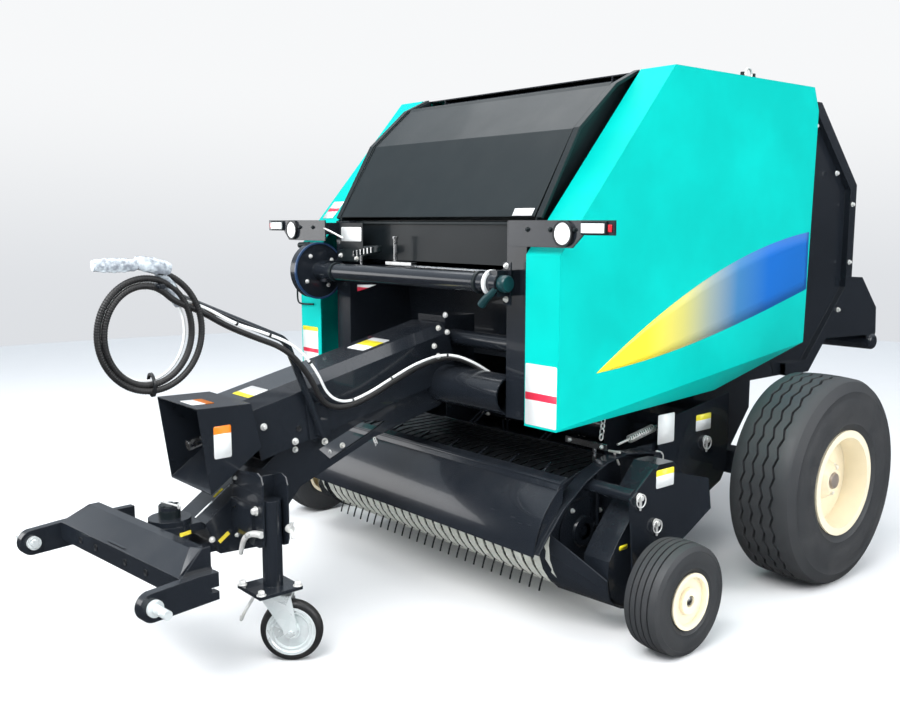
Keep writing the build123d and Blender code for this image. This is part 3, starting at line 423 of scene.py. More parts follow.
def ribbed_tyre(centre, profile, shift, teeth, steps):
    """A tyre as rings of a closed (offset, radius, share) profile round the X axis through
    centre. Each point is offset by shift * share * zigzag(angle), a triangle wave of the given
    number of teeth, so that the grooves wind and the shoulders stay true."""
    offset, radius, share = np.asarray(profile, float).T
    angle = np.linspace(0, turn, steps, endpoint=False)
    zigzag = 2 * np.abs(2 * ((angle * teeth / turn) % 1) - 1) - 1
    x = offset[None] + shift * share[None] * zigzag[:, None]
    grid = np.stack([x, radius[None] * np.cos(angle)[:, None],
                     radius[None] * np.sin(angle)[:, None]], -1)
    return quads(grid + np.asarray(centre), around=True, along=True)


def tyre_profile(half, outer, bead, bead_half, grooves, depth, drop, wall):
    """Closed profile from bead over the sidewall, shoulder and grooved crown to the other bead
    and back along the inner lining. The crown falls by drop at its edges."""
    edge = half * 0.76
    crown = [(-edge, 0.0, 0)]
    for middle, width in grooves:
        low, high = middle - width / 2, middle + width / 2
        crown += [(low, 0.0, 1), (low + width * 0.18, depth, 1), (high - width * 0.18, depth, 1),
                  (high, 0.0, 1)]
    crown.append((edge, 0.0, 0))
    crown = [(x, outer - drop * (x / edge) ** 2 - sunk, share) for x, sunk, share in crown]
    height = outer - bead
    wall_side = [(bead_half, bead, 0), (bead_half * 1.04, bead + 0.07 * height, 0),
                 (half * 0.93, bead + 0.16 * height, 0), (half * 0.965, bead + 0.19 * height, 0),
                 (half * 0.955, bead + 0.22 * height, 0), (half * 0.985, bead + 0.34 * height, 0),
                 (half, bead + 0.48 * height, 0), (half * 0.985, bead + 0.62 * height, 0),
                 (half * 0.955, bead + 0.74 * height, 0), (half * 0.965, bead + 0.76 * height, 0),
                 (half * 0.925, bead + 0.83 * height, 0), (half * 0.86, bead + 0.93 * height, 0)]
    left = [(-x, r, s) for x, r, s in wall_side]
    lining = [(bead_half * 0.85, bead, 0), (half - wall, bead + 0.45 * height, 0),
              (edge * 0.95, outer - depth - wall, 0)]
    lining += [(-x, r, s) for x, r, s in lining[::-1]]
    return left + crown + wall_side[::-1] + lining


field_profile = tyre_profile(0.145, tyre_r, 0.197, 0.120,
                             [(-0.064, 0.011), (-0.022, 0.011), (0.022, 0.011), (0.064, 0.011)],
                             0.013, 0.006, 0.02)
small_profile = tyre_profile(0.073, gauge_r, 0.096, 0.060,
                             [(-0.036, 0.006), (-0.012, 0.006), (0.012, 0.006), (0.036, 0.006)],
                             0.006, 0.005, 0.01)
hub_cap = lathe([(0, 0.016), (0.020, 0.015), (0.030, 0.011), (0.035, 0.0)], 40)
small_cap = lathe([(0, 0.020), (0.010, 0.019), (0.018, 0.014), (0.021, 0.0)], 28)
nut_angle = np.linspace(0, turn, nut_count, endpoint=False) + 0.3
for side, name in sides:
    piece(f"field_tyre_{name}",
          ribbed_tyre((side * wheel_x, axle_y, tyre_r), field_profile, 0.006, 34, 340),
          tread, f"wheel_{name}", stands_for=[f"tyre_{name}"], sharp=30)
    piece(f"gauge_wheel_tyre_{name}",
          ribbed_tyre((side * gauge_x, gauge_y, gauge_r), small_profile, 0.0, 1, 160),
          tread, f"gauge_wheel_{name}", stands_for=[f"gauge_tyre_{name}"], sharp=30)
    nuts = np.column_stack([np.full(nut_count, side * nut_face),
                            axle_y + nut_ring * np.cos(nut_angle),
                            tyre_r + nut_ring * np.sin(nut_angle)])
    outward = (side, 0, 0)
    bolts(f"wheel_nuts_{name}", f"wheel_{name}", [(nuts, outward, 1.0)])
    piece(f"hub_cap_{name}", copies(hub_cap, [(side * 1.114, axle_y, tyre_r)], outward),
          hub_metal, f"wheel_{name}")
    piece(f"gauge_hub_cap_{name}", copies(small_cap, [(side * 1.152, gauge_y, gauge_r)], outward),
          bright, f"gauge_wheel_{name}")


# ================================================================ cover stripe
stripe_front, stripe_length, stripe_low, stripe_x = -0.515, 1.355, 0.934, 0.8064


def stripe(side, steps=60, rows=6):
    """The sweep on a side cover, between a bowed upper and a flatter lower edge: for u along
    and v across, a point is (1 - v) * lower(u) + v * upper(u)."""
    u = np.linspace(0, 1, steps)
    y = stripe_front + stripe_length * u
    upper = stripe_low + 0.806 * u - 0.329 * u ** 2
    lower = stripe_low + 0.060 * u + 0.250 * u ** 2 - 0.078 * u ** 3
    v = np.linspace(0, 1, rows)[:, None]
    grid = np.stack([np.full((rows, steps), side * stripe_x), np.broadcast_to(y, (rows, steps)),
                     lower * (1 - v) + upper * v], -1)
    return quads(grid)


sweep = Finish("stripe_film", 0.3, coat=0.5)
share = (sweep.along("Y") + -stripe_front) * (1 / stripe_length)
sweep.set("Base Color", sweep.node("ValToRGB", {"stops": [
    (0.0, (0.86, 0.80, 0.03)), (0.2, (0.88, 0.74, 0.04)), (0.36, (0.6, 0.56, 0.16)),
    (0.48, (0.3, 0.36, 0.32)), (0.62, (0.05, 0.2, 0.42)), (0.78, (0.004, 0.13, 0.5)),
    (1.0, (0.004, 0.12, 0.44))]}, {0: share}))
for side, name in sides:
    piece(f"cover_stripe_{name}", stripe(side), sweep, f"cover_{name}", thickness=0.0006)


# ================================================================ hose, cable and their coil
def through_route(name, points):
    """Even points along the smooth line that a NURBS spline draws through a route."""
    curve = bpy.data.curves.new(name, "CURVE")
    curve.dimensions, curve.resolution_u = "3D", 24
    spline = curve.splines.new("NURBS")
    spline.points.add(len(points) - 1)
    spline.points.foreach_set("co", np.column_stack([points, np.ones(len(points))]).ravel())
    spline.order_u, spline.use_endpoint_u = 3, True
    holder = bpy.data.objects.new(name, curve)
    line = bpy.data.meshes.new_from_object(holder)
    drawn = np.zeros(len(line.vertices) * 3)
    line.vertices.foreach_get("co", drawn)
    bpy.data.objects.remove(holder)
    bpy.data.meshes.remove(line)
    drawn = drawn.reshape(-1, 3)
    return drawn[np.r_[True, np.linalg.norm(np.diff(drawn, axis=0), axis=1) > 1e-6]]


def evenly(path, gap):
    """The path again, with points a fixed gap apart along its length; also the length."""
    reach = np.r_[0, np.cumsum(np.linalg.norm(np.diff(path, axis=0), axis=1))]
    at = np.linspace(0, reach[-1], int(reach[-1] / gap) + 1)
    return np.column_stack([np.interp(at, reach, path[:, k]) for k in range(3)]), reach[-1]


loop_y, loop_z, loop_half_y, loop_half_z = -1.874, 1.118, 0.124, 0.148


def coil_turns(start, turns, across, first, gap, spread, steps=14):
    """Turns of a loop that hangs in the Y-Z plane: at angle a from +Y the point is the centre
    plus (half_y * cos a, half_z * sin a), and it sways a little across. Each turn is wider than
    the last by a gap, and spread moves the wide turns rearward."""
    angle = np.radians(start) + np.linspace(0, turns * turn, int(turns * steps) + 1)
    done = (angle - angle[0]) / turn
    half_y = loop_half_y + gap * done + first
    half_z = loop_half_z + 0.75 * gap * done + first
    return np.column_stack([across + 0.004 * np.sin(angle * 0.8),
                            loop_y + spread * done + half_y * np.cos(angle),
                            loop_z + 0.4 * spread * done + half_z * np.sin(angle)])


hose_route = np.concatenate([
    [(0.300, -0.582, 0.886), (0.240, -0.620, 0.935), (0.165, -0.700, 0.938), (0.150, -0.850, 0.886),
     (0.148, -1.010, 0.815), (0.148, -1.130, 0.788), (0.160, -1.225, 0.820), (0.184, -1.285, 0.925),
     (0.184, -1.375, 1.030), (0.166, -1.490, 1.078), (0.170, -1.590, 1.122),
     (0.186, -1.690, 1.180)],
    coil_turns(40, 2.139, 0.200, 0.0, 0.028, 0.006),
    [(0.200, -1.900, 1.328), (0.200, -1.950, 1.331), (0.200, -1.995, 1.328)]])
cable_route = np.concatenate([
    [(0.340, -0.590, 0.891), (0.300, -0.640, 0.935), (0.222, -0.705, 0.962), (0.176, -0.810, 0.930),
     (0.166, -0.925, 0.880), (0.166, -1.030, 0.836), (0.168, -1.130, 0.812), (0.182, -1.215, 0.850),
     (0.204, -1.270, 0.945), (0.208, -1.355, 1.045), (0.184, -1.470, 1.096), (0.182, -1.565, 1.128),
     (0.180, -1.680, 1.196)],
    coil_turns(52, 2.0, 0.180, -0.006, 0.020, 0.004)])
hose_r, hose_rib, hose_plain, cable_r, cable_gap = 0.0105, 0.008, 12, 0.0050, 0.006


def corded(name, path, radius, sides, finish):
    """A cord on the chassis: a circle of the given radius carried along its path."""
    return piece(name, tube(path, radius, sides, guide=(1, 0, 0)), finish, "chassis", sharp=80)


# The hose's radius is hose_r * (1 - 0.06 * (1 + cos)), once round per rib; it starts plain.
hose_path, hose_length = evenly(through_route("hydraulic_hose", hose_route), hose_rib / 4)
swell = hose_r * (1 - 0.06 * (1 + np.cos(np.arange(len(hose_path)) * math.pi / 2)))
swell[:hose_plain] = hose_r
hose = corded("hydraulic_hose", hose_path, swell, 12, hose_rubber)
cable_path, cable_length = evenly(through_route("lighting_cable", cable_route), cable_gap)
cable = corded("lighting_cable", cable_path, cable_r, 10, white_plastic)


def wrapped(centre, heading, length, radius):
    """A connector in a loose film wrap: a tube that narrows at its ends, with each point moved
    from or to its spine by a ripple of sines round and along."""
    heading = unit(heading)
    steps = np.linspace(-0.5, 0.5, 34)
    path = np.asarray(centre) + steps[:, None] * length * heading
    shape, faces = tube(path, radius * (0.55 + 0.45 * np.cos(steps * 2.7) ** 0.5), 22)
    x, y, z = shape[:, [0]], shape[:, [1]], shape[:, [2]]
    ripple = 1 + 0.10 * np.sin(y * 210 + z * 160) * np.sin(x * 330)
    spine = np.asarray(centre) + ((shape - centre) @ heading)[:, None] * heading
    return spine + (shape - spine) * ripple, faces


film = Finish("film_wrap", 0.16, coat=0.6)
crease = film.noise(34.0, 4.0, 0.6)
film.set("Base Color", film.mix(crease.step(0.35, 0.7), (0.20, 0.22, 0.25), (0.60, 0.66, 0.70)))
film.relief(crease, 0.002, 0.8)
hose_plugs = piece("hose_plugs_wrapped",
                   join(wrapped((0.202, -1.962, 1.330), (0, -1, 0.02), 0.130, 0.021),
                        wrapped((0.202, -1.845, 1.326), (0, 0.97, -0.22), 0.110, 0.023)),
                   film, "chassis", sharp=60, stands_for=["hose_plugs"])
cable_plug = piece("cable_plug_wrapped",
                   wrapped((0.184, -1.790, 1.266), (0, -0.5, 0.86), 0.150, 0.021),
                   film, "chassis", sharp=60)
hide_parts("hose_run", "hose_coil")
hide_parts("cable_run")

tie_points, tie_faces = lathe([(0.90, -0.5), (1.12, -0.4), (1.12, 0.4), (0.90, 0.5)], 18)


def ties(path, spots, radius, width=0.008):
    """Bands round a cord where it is strapped: each lies at the path point nearest its spot and
    square to the line between the points three before and three after."""
    at = [int(np.argmin(np.linalg.norm(path - np.asarray(spot), axis=1))) for spot in spots]
    heading = unit(np.array([path[k + 3] - path[k - 3] for k in at]))
    return copies((tie_points * (radius, radius, width), tie_faces), path[at], heading)


spots = [(0.222, -0.700, 0.955), (0.166, -0.925, 0.880), (0.168, -1.100, 0.818),
         (0.200, -1.300, 0.980), (0.190, -1.440, 1.090), (0.184, -1.560, 1.126)]
loop_tie = copies((tie_points * (0.034, 0.024, 0.010), tie_faces), [(0.194, -1.860, 0.962)],
                  (0, 1, 0.05), (0, 0, 1))
piece("cable_ties", join(ties(cable_path, spots, 0.0062), loop_tie), black_plastic, "chassis")

# ================================================================ signs
front_face, side_face, carrier_face = -0.7056, 0.7106, 0.9586
tunnel_lean = 0.2347


def film_sign(name, corners, bands, body):
    """A blank sticker: one flat face between the given corners."""
    face = np.arange(len(corners))[None]
    piece(name, (np.array(corners), [face]), label_finish(name, bands), body,
          thickness=film_thickness)


def leaning(corners, y, z, slope):
    """(x, z) corners put on a plane through (y, z) that rises by slope per metre of Y."""
    return [(x, y + (height - z) / slope, height) for x, height in corners]


def sign(name, low, high, square_to, body, bands, axis="Z", lean=0.0):
    """A blank sticker: a plate between two corners, square to an axis, with a quarter circle
    at each corner; lean is the rise per metre of Y of the sloping face it lies on."""
    low, high = np.array(low, float), np.array(high, float)
    u, v = [k for k in range(3) if k != square_to]
    round_off, steps = 0.006, np.radians([0, 30, 60, 90])
    arcs = []
    for (cu, cv), start in (((1, 1), 0), ((0, 1), 90), ((0, 0), 180), ((1, 0), 270)):
        centre_u = (high[u] - round_off) if cu else (low[u] + round_off)
        centre_v = (high[v] - round_off) if cv else (low[v] + round_off)
        arcs.append(np.column_stack([centre_u + round_off * np.cos(steps + math.radians(start)),
                                     centre_v + round_off * np.sin(steps + math.radians(start))]))
    rim = np.concatenate(arcs)
    points = np.zeros((len(rim), 3))
    points[:, u], points[:, v], points[:, square_to] = rim[:, 0], rim[:, 1], low[square_to]
    points[:, 2] += (points[:, 1] - low[1]) * lean
    piece(name, (points, [np.arange(len(rim))[None]]), label_finish(name, bands, axis), body,
          thickness=film_thickness)


sign("front_sign_left", (0.650, front_face, 0.757), (0.799, front_face, 0.972), 1, "cover_left",
     [(0, white), (0.846, red), (0.872, white)])
sign("front_sign_right", (-0.797, front_face, 0.775), (-0.672, front_face, 0.985), 1, "cover_right",
     [(0, white), (0.868, red), (0.886, white), (0.966, yellow)])
sign("hood_side_sign", (0.1526, -1.640, 0.684), (0.1526, -1.577, 0.793), 0, "chassis",
     [(0, white), (0.766, orange)])
sign("hood_top_sign", (-0.020, -1.675, 0.8585), (0.078, -1.595, 0.8585), 2, "chassis",
     [(-9, white), (-1.628, orange)], "Y", -0.02)
sign("tunnel_sign", (-0.030, -1.475, 0.8605), (0.086, -1.395, 0.8605), 2, "chassis",
     [(-9, yellow), (-1.452, white)], "Y", tunnel_lean)
sign("tunnel_rear_sign", (-0.050, -0.975, 0.978), (0.060, -0.850, 0.978), 2, "chassis",
     [(-9, white), (-0.93, yellow), (-0.88, white)], "Y", tunnel_lean)
sign("net_sign", (-0.515, -0.6775, 1.372), (-0.366, -0.6775, 1.432), 1, "chassis", [(0, white)])
sign("side_sign_left", (side_face, -0.036, 0.590), (side_face, 0.068, 0.708), 0, "chassis",
     [(0, white)])
sign("lift_sign_left", (side_face, 0.212, 0.608), (side_face, 0.314, 0.676), 0, "chassis",
     [(0, white), (0.652, yellow)])
sign("carrier_sign_left", (carrier_face, -0.360, 0.524), (carrier_face, -0.260, 0.590), 0, "pickup",
     [(0, white), (0.568, yellow)])
# The plate behind the net sign wears the painted-shade copy of the charcoal paint.
piece("net_sign_plate", block((-0.525, -0.677, 1.340), (-0.356, -0.674, 1.450)), recess_shade_paint,
      "chassis")

# ================================================================ reel, rotor and windguard
reel_y, reel_z, band_half, band_count = -0.455, 0.330, 0.694, 27
tine_x = -band_half + 2 * band_half / band_count * np.arange(1, band_count)
bar_ring, bar_half, bar_count = 0.150, 0.684, 4


def reel_tine():
    """One spring tine: it runs outward from its bar and bends forward as the square of its
    reach."""
    reach = np.linspace(0, 1, 9)
    path = np.column_stack([0.034 * reach ** 2, np.zeros(9), 0.112 * reach])
    return tube(path, np.linspace(0.0042, 0.0036, 9), 6, guide=(0.0, 1.0, 0.1))


coil_angle, coil_r = np.linspace(0, 4 * turn, 48), 0.017
coil_ring = tube(np.column_stack([coil_r * np.cos(coil_angle), coil_angle * 0.0014 - 0.009,
                                  coil_r * np.sin(coil_angle)]), 0.003, 5, guide=(0, 1, 0.02))
bar_parts, tine_parts = [], []
for place in range(bar_count):
    angle = math.radians(45 + 90 * place)
    outward = np.array([0, math.cos(angle), math.sin(angle)])
    bar = np.array([0, reel_y, reel_z]) + outward * bar_ring
    bar_parts.append(rods([bar + (x, 0, 0) for x in (-bar_half, bar_half)], radius=0.013, sides=16))
    forward = (0, -math.sin(angle), math.cos(angle))
    spots = np.column_stack([tine_x, np.tile(bar[1:], (len(tine_x), 1))])
    tine_parts.append(copies(reel_tine(), spots, outward, forward))
    tine_parts.append(copies(coil_ring, spots, outward, forward))
shaft = rods([(-0.709, reel_y, reel_z), (0.709, reel_y, reel_z)], radius=0.020, sides=20)
spider = lathe([(0.019, -0.003), (0.168, -0.003), (0.168, 0.003), (0.019, 0.003)], 48)
bar_parts.append(copies(spider, [(x, reel_y, reel_z) for x in (-0.679, 0.003, 0.679)], (1, 0, 0)))
piece("tine_reel", join(shaft, *bar_parts), dark, "pickup_reel", stands_for=["pickup_reel"])
piece("reel_tines", join(*tine_parts), black_plastic, "pickup_reel", sharp=70)

rotor_y, rotor_z, rotor_pitch = 0.080, 0.600, 0.078
drum = lathe([(0, -0.48), (0.070, -0.48), (0.070, 0.48), (0, 0.48)], 40)
axle = lathe([(0, -0.506), (0.030, -0.506), (0.030, 0.506), (0, 0.506)], 24)
pairs, heads = [], []
for place in range(12):
    angle = math.radians(150 + 60 * place)
    outward = np.array([0, math.cos(angle), math.sin(angle)])
    sideways = (0, -math.sin(angle), math.cos(angle))
    x = -0.429 + rotor_pitch * place
    rod_path = np.array([(0.004 * t * t, 0, 0.060 + 0.126 * t) for t in np.linspace(0, 1, 6)])
    spots = [(x + d, rotor_y, rotor_z) for d in (-0.014, 0.014)]
    pairs.append(copies(tube(rod_path, 0.006, 8, guide=(0, 1, 0)), spots, outward, sideways))
    heads.append((np.array(spots) + outward * 0.0705 + np.array(sideways) * 0.018, outward, 0.7))
piece("rotor_drum", join(copies(join(drum, axle), [(0, rotor_y, rotor_z)], (1, 0, 0)), *pairs),
      dark, "feed_rotor", stands_for=["feed_rotor"])
bolts("rotor_bolts", "feed_rotor", heads)

guard_rods = rods(*[[(x, -0.630, 0.548), (x - 0.01, -0.600, 0.562), (x - 0.04, -0.545, 0.566),
                     (x - 0.075, -0.490, 0.566)]
                    for x in (-0.60, -0.43, -0.26, -0.07, 0.125, 0.300, 0.470, 0.645)], sides=8)
strip = plate([(-0.628, 0.540), (-0.640, 0.524), (-0.646, 0.528), (-0.632, 0.556), (-0.598, 0.566),
               (-0.597, 0.560)], -0.756, 0.756)
piece("guard_top_strip", join(strip, guard_rods), dark, "windguard")
spots = [(x, -0.6535, 0.495) for x in (-0.62, -0.40, -0.20, 0.0, 0.218, 0.384, 0.555)]
bolts("guard_bolts", "windguard", [(spots, (0, -1, 0.28), 0.42)])


def chain(points, gap, size=0.009, wire=0.0022):
    """Oval links, x = 0.62 * size * cos and z = size * sin, along a line, each turned about a
    quarter against the last."""
    path, _ = evenly(np.asarray(points, float), gap)
    round_link = np.linspace(0, turn, 14, endpoint=False)
    link = np.column_stack([size * 0.62 * np.cos(round_link), np.zeros(14),
                            size * np.sin(round_link)])
    shape = tube(np.vstack([link, link[:1]]), wire, 6, guide=(0.02, 1, 0.01))
    heading = unit(np.gradient(path, axis=0))
    even = np.arange(len(path)) % 2 == 0
    return join(copies(shape, path[even], heading[even], (1, 0.1, 0)),
                copies(shape, path[~even], heading[~even], (0.1, 1, 0.6)))


def lynch_pin(place, out, size=1.0):
    """A tapered pin across a round stub, with a circle of wire swung down flat beside it."""
    ring = np.linspace(0.3, turn + 0.1, 30)
    loop = tube(np.column_stack([0.026 * np.cos(ring) - 0.012, 0.026 * np.sin(ring),
                                 np.full(30, 0.012)]), 0.0026, 7, guide=(0.01, 0.02, 1))
    pin = tube(np.array([(0.016, 0, 0.008), (-0.03, 0, 0.008), (-0.05, 0, 0.008)]),
               [0.006, 0.005, 0.004], 10, guide=(0, 0, 1))
    head = lathe([(0, 0), (0.018, 0), (0.018, 0.003), (0.010, 0.004), (0.010, 0.018), (0, 0.019)],
                 24)
    return copies(join(loop, pin, head), [place], out, (0, 0, 1), size)


eye_angle = np.linspace(0, turn, 18)
eye_ring = np.column_stack([0.012 * np.cos(eye_angle), np.zeros(18), 0.020 * np.sin(eye_angle)])
guard_eye = copies(tube(eye_ring, 0.003, 6, guide=(0, 1, 0.02)), [(-0.560, -0.722, 0.425)],
                   (0, -0.25, 0.97), (1, 0, 0))
guard_chain_route = [(-0.318, -0.655, 0.527), (-0.295, -0.662, 0.512), (-0.258, -0.674, 0.488),
                     (-0.215, -0.684, 0.468)]
piece("guard_chain", join(chain(guard_chain_route, 0.0135), guard_eye), zinc, "windguard", sharp=70)
piece("pickup_pins", join(*[lynch_pin(place, (1, 0, 0), size=0.9)
                            for place in ((0.960, -0.455, 0.512), (0.960, -0.360, 0.402))]),
      zinc, "pickup", sharp=60)
piece("frame_pins", join(*[lynch_pin((side * 0.711, y, z), (side, 0, 0))
                           for side, y, z in ((1, -0.040, 0.552), (1, 0.278, 0.566),
                                              (-1, 0.278, 0.566))]),
      zinc, "chassis", sharp=60)
piece("guard_latch", join(block((0.562, -0.404, 0.632), (0.764, -0.399, 0.656)),
                          block((0.694, -0.399, 0.560), (0.702, -0.385, 0.652))), bright, "pickup",
      bevel=0.001)
latch_places = [(0.585, -0.404, 0.644), (0.742, -0.404, 0.644)]
bolts("latch_bolts", "pickup", [(latch_places, (0, -1, 0), 0.5)])
spring_x, spring_r, spring_turns = 0.660, 0.014, 12
spring_angle = np.linspace(0, spring_turns * turn, 12 * spring_turns)
done = np.linspace(0, 1, len(spring_angle))
spring_path = np.column_stack([spring_x + spring_r * np.cos(spring_angle), -0.150 + 0.150 * done,
                               0.620 + 0.026 * done + spring_r * np.sin(spring_angle)])
piece("lift_spring", join(tube(spring_path, 0.003, 6),
                          rods([(spring_x, -0.215, 0.610), (spring_x, -0.150, 0.621)],
                               [(spring_x, 0.000, 0.646), (spring_x, 0.020, 0.650)], sides=8)),
      zinc, "pickup", sharp=70)
piece("cover_chain", chain([(0.650, -0.290, 0.755), (0.650, -0.292, 0.700), (0.650, -0.300, 0.650)],
                           0.018, 0.013, 0.003), zinc, "chassis", sharp=70)

# ================================================================ pickup end fittings
flange = lathe([(0.030, 0.0), (0.125, 0.0), (0.125, 0.006), (0.060, 0.006), (0.055, 0.014),
                (0.030, 0.014)], 48)
spots = np.column_stack([np.full(4, 0.708), reel_y + 0.108 * np.cos(quarters),
                         reel_z + 0.108 * np.sin(quarters)])
piece("reel_flange", mirrored(copies(flange, [(0.702, reel_y, reel_z)], (1, 0, 0))), dark, "pickup")
piece("reel_flange_bolts", mirrored(copies(bolt, spots, (1, 0, 0), size=0.6)), zinc, "pickup")
strut = join(rods([(0.725, -0.412, 0.585), (0.725, -0.404, 0.480), (0.722, -0.395, 0.345)],
                  radius=0.008, sides=12),
             rods([(0.722, -0.402, 0.345), (0.706, -0.402, 0.345)], radius=0.012, sides=12))
piece("pickup_strut", mirrored(strut), dark, "pickup", sharp=60)
handle = join(rods([(0.740, -0.300, 0.560), (0.740, -0.330, 0.612)], radius=0.004, sides=8),
              rods([(0.715, -0.332, 0.614), (0.768, -0.330, 0.616)], radius=0.0045, sides=8))
piece("case_handle", handle, zinc, "pickup")
sign("case_mark", (0.9156, -0.500, 0.318), (0.9156, -0.455, 0.335), 0, "pickup", [(0, yellow)])


# ================================================================ jack and caster
plate_corners = [(x, y, 0.262) for x in (0.219, 0.345) for y in (-1.588, -1.452)]
bolts("jack_plate_bolts", "jack_leg", [(plate_corners, (0, 0, 1), 1.0)])
bolts("jack_clamp_bolts", "chassis",
      [([(0.254, -1.549, 0.515)], (0, -1, 0), 1.0),
       ([(0.120, -1.549, z) for z in (0.60, 0.50, 0.40)], (0, -1, 0), 0.5),
       ([(0.250, -1.465, 0.46)], (0, 1, 0), 0.9)])
lever = [(0.300, -1.556, 0.446), (0.262, -1.562, 0.444), (0.222, -1.566, 0.430),
         (0.190, -1.566, 0.402), (0.172, -1.566, 0.352)]
piece("jack_lever", tube(curve_through(lever, 26), np.linspace(0.012, 0.008, 26), 12), zinc,
      "chassis", sharp=60)
piece("jack_wing_nut", join(copies(lathe([(0, 0), (0.014, 0), (0.014, 0.016), (0, 0.016)], 16),
                                   [(0.322, -1.468, 0.457)], (1, 0, 0)),
                            rods([(0.334, -1.468, 0.457), (0.346, -1.468, 0.486)],
                                 [(0.334, -1.468, 0.457), (0.350, -1.468, 0.428)], radius=0.006)),
      zinc, "chassis", sharp=60)
caster_centre, caster_axis = np.array([0.3182, -1.4622, 0.105]), np.array([0.7627, -0.6468, 0.0])
tyre_ring = [(0.083, -0.0225), (0.092, -0.0225), (0.101, -0.017), (0.1048, -0.008),
             (0.1048, 0.008), (0.101, 0.017), (0.092, 0.0225), (0.083, 0.0225), (0.070, 0.0),
             (0.083, -0.0225)]
piece("caster_tyre", copies(lathe(tyre_ring, 64), [caster_centre], caster_axis), hose_rubber,
      "caster_wheel", stands_for=["caster_wheel"], sharp=50)
dish = [(0.009, 0.0225), (0.026, 0.0225), (0.030, 0.012), (0.058, 0.012), (0.062, 0.018),
        (0.070, 0.018), (0.074, 0.0225), (0.083, 0.0228), (0.083, 0.0)]
dish += [(radius, -height) for radius, height in dish[::-1][1:]]
dish.append(dish[0])
piece("caster_disc", copies(lathe(dish, 64), [caster_centre], caster_axis), disc_zinc,
      "caster_wheel", sharp=30)
hook = [(0.236, -1.548, 0.228), (0.222, -1.566, 0.190), (0.214, -1.584, 0.160),
        (0.206, -1.588, 0.136), (0.196, -1.586, 0.130), (0.190, -1.580, 0.142)]
piece("caster_brake", tube(curve_through(hook, 24), 0.0055, 10), zinc, "caster_fork", sharp=60)

# ================================================================ hitch
pin_y, nut_r, nut_steps = -1.735, 0.0362, 48
castle = np.linspace(0, turn, nut_steps, endpoint=False)
crown = np.where(np.arange(nut_steps) % 8 < 2, 0.024, 0.034)
rings = [(nut_r, 0.473), (nut_r, 0.500), (crown + 0.001, 0.500), (crown, 0.5165), (0.018, 0.5165),
         (0.0001, 0.5165)]
nut_grid = np.stack([np.column_stack([r * np.cos(castle), pin_y + r * np.sin(castle),
                                      np.full(nut_steps, z)])
                     for r, z in rings])
piece("king_nut", quads(nut_grid, around=True), charcoal, "chassis", sharp=30)
split_pin = rods([(-0.044, pin_y - 0.010, 0.518), (0.046, pin_y + 0.012, 0.518)], radius=0.004)
pin_eye = copies(lathe([(0.004, -0.003), (0.010, -0.003), (0.010, 0.003), (0.004, 0.003)], 16),
                 [(0.050, pin_y + 0.012, 0.519)], (0, 1, 0))
piece("king_split_pin", join(split_pin, pin_eye), zinc, "chassis", sharp=60)
piece("king_ring", copies(lathe(ring_profile(0.064, 0.0745, 0.0, 0.046), 56),
                          [(0, pin_y, 0.408)]), dark, "chassis")
yoke_turn = math.radians(5.5)
yoke_cos, yoke_sin = math.cos(yoke_turn), math.sin(yoke_turn)


def on_yoke(points):
    """Points given square to the machine, turned with the yoke about its king pin: x * cos -
    y * sin and x * sin + y * cos, with y from the pin."""
    x, y, z = np.asarray(points, float).T
    return np.column_stack([x * yoke_cos - (y - pin_y) * yoke_sin,
                            pin_y + x * yoke_sin + (y - pin_y) * yoke_cos, z])


hole = lathe([(0.0, 0.0), (0.0075, 0.0), (0.009, 0.002), (0.011, 0.002), (0.011, 0.0)], 20)
front = (yoke_sin, -yoke_cos, 0)
piece("yoke_holes", copies(hole, on_yoke([(x, -1.9365, 0.383) for x in (-0.24, -0.13, 0.07, 0.20)]),
                           front), black_plastic, "hitch_yoke")
webs = []
for side, top in ((1, 0.486), (-1, 0.430)):
    corners = [(side * 0.328, -1.855, 0.4765), (side * 0.389, -1.855, top),
               (side * 0.389, -1.929, 0.4185)]
    lower = [(x, y + 0.004, z - 0.010) for x, y, z in corners]
    around = np.arange(3)
    walls = np.stack([around, (around + 1) % 3, (around + 1) % 3 + 3, around + 3], -1)
    webs.append((on_yoke(corners + lower), [walls, around[None], around[None, ::-1] + 3]))
piece("yoke_end_webs", join(*webs), dark, "hitch_yoke")
collar = lathe([(0.0145, 0.0), (0.024, 0.0), (0.026, 0.003), (0.026, 0.012), (0.024, 0.015),
                (0.0145, 0.015)], 32)
snap = rods([(0.0, 0.016, 0.050), (0.0, -0.018, 0.050)], radius=0.003)
along_yoke = np.array([yoke_cos, yoke_sin, 0])
piece("link_collars", join(*[copies(join(collar, snap), on_yoke([(side * 0.4255, -2.035, 0.362)]),
                                    side * along_yoke) for side, _ in sides]),
      disc_zinc, "hitch_yoke", sharp=40)


def dash(start, end, x, width=0.014):
    """A short painted dash on a side face: the line between two (y, z) points, made half the
    width wide to each side."""
    start, end = np.array(start), np.array(end)
    half = unit([start[1] - end[1], end[0] - start[0]]) * width / 2
    return plate([start - half, end - half, end + half, start + half], x, x + 0.001)


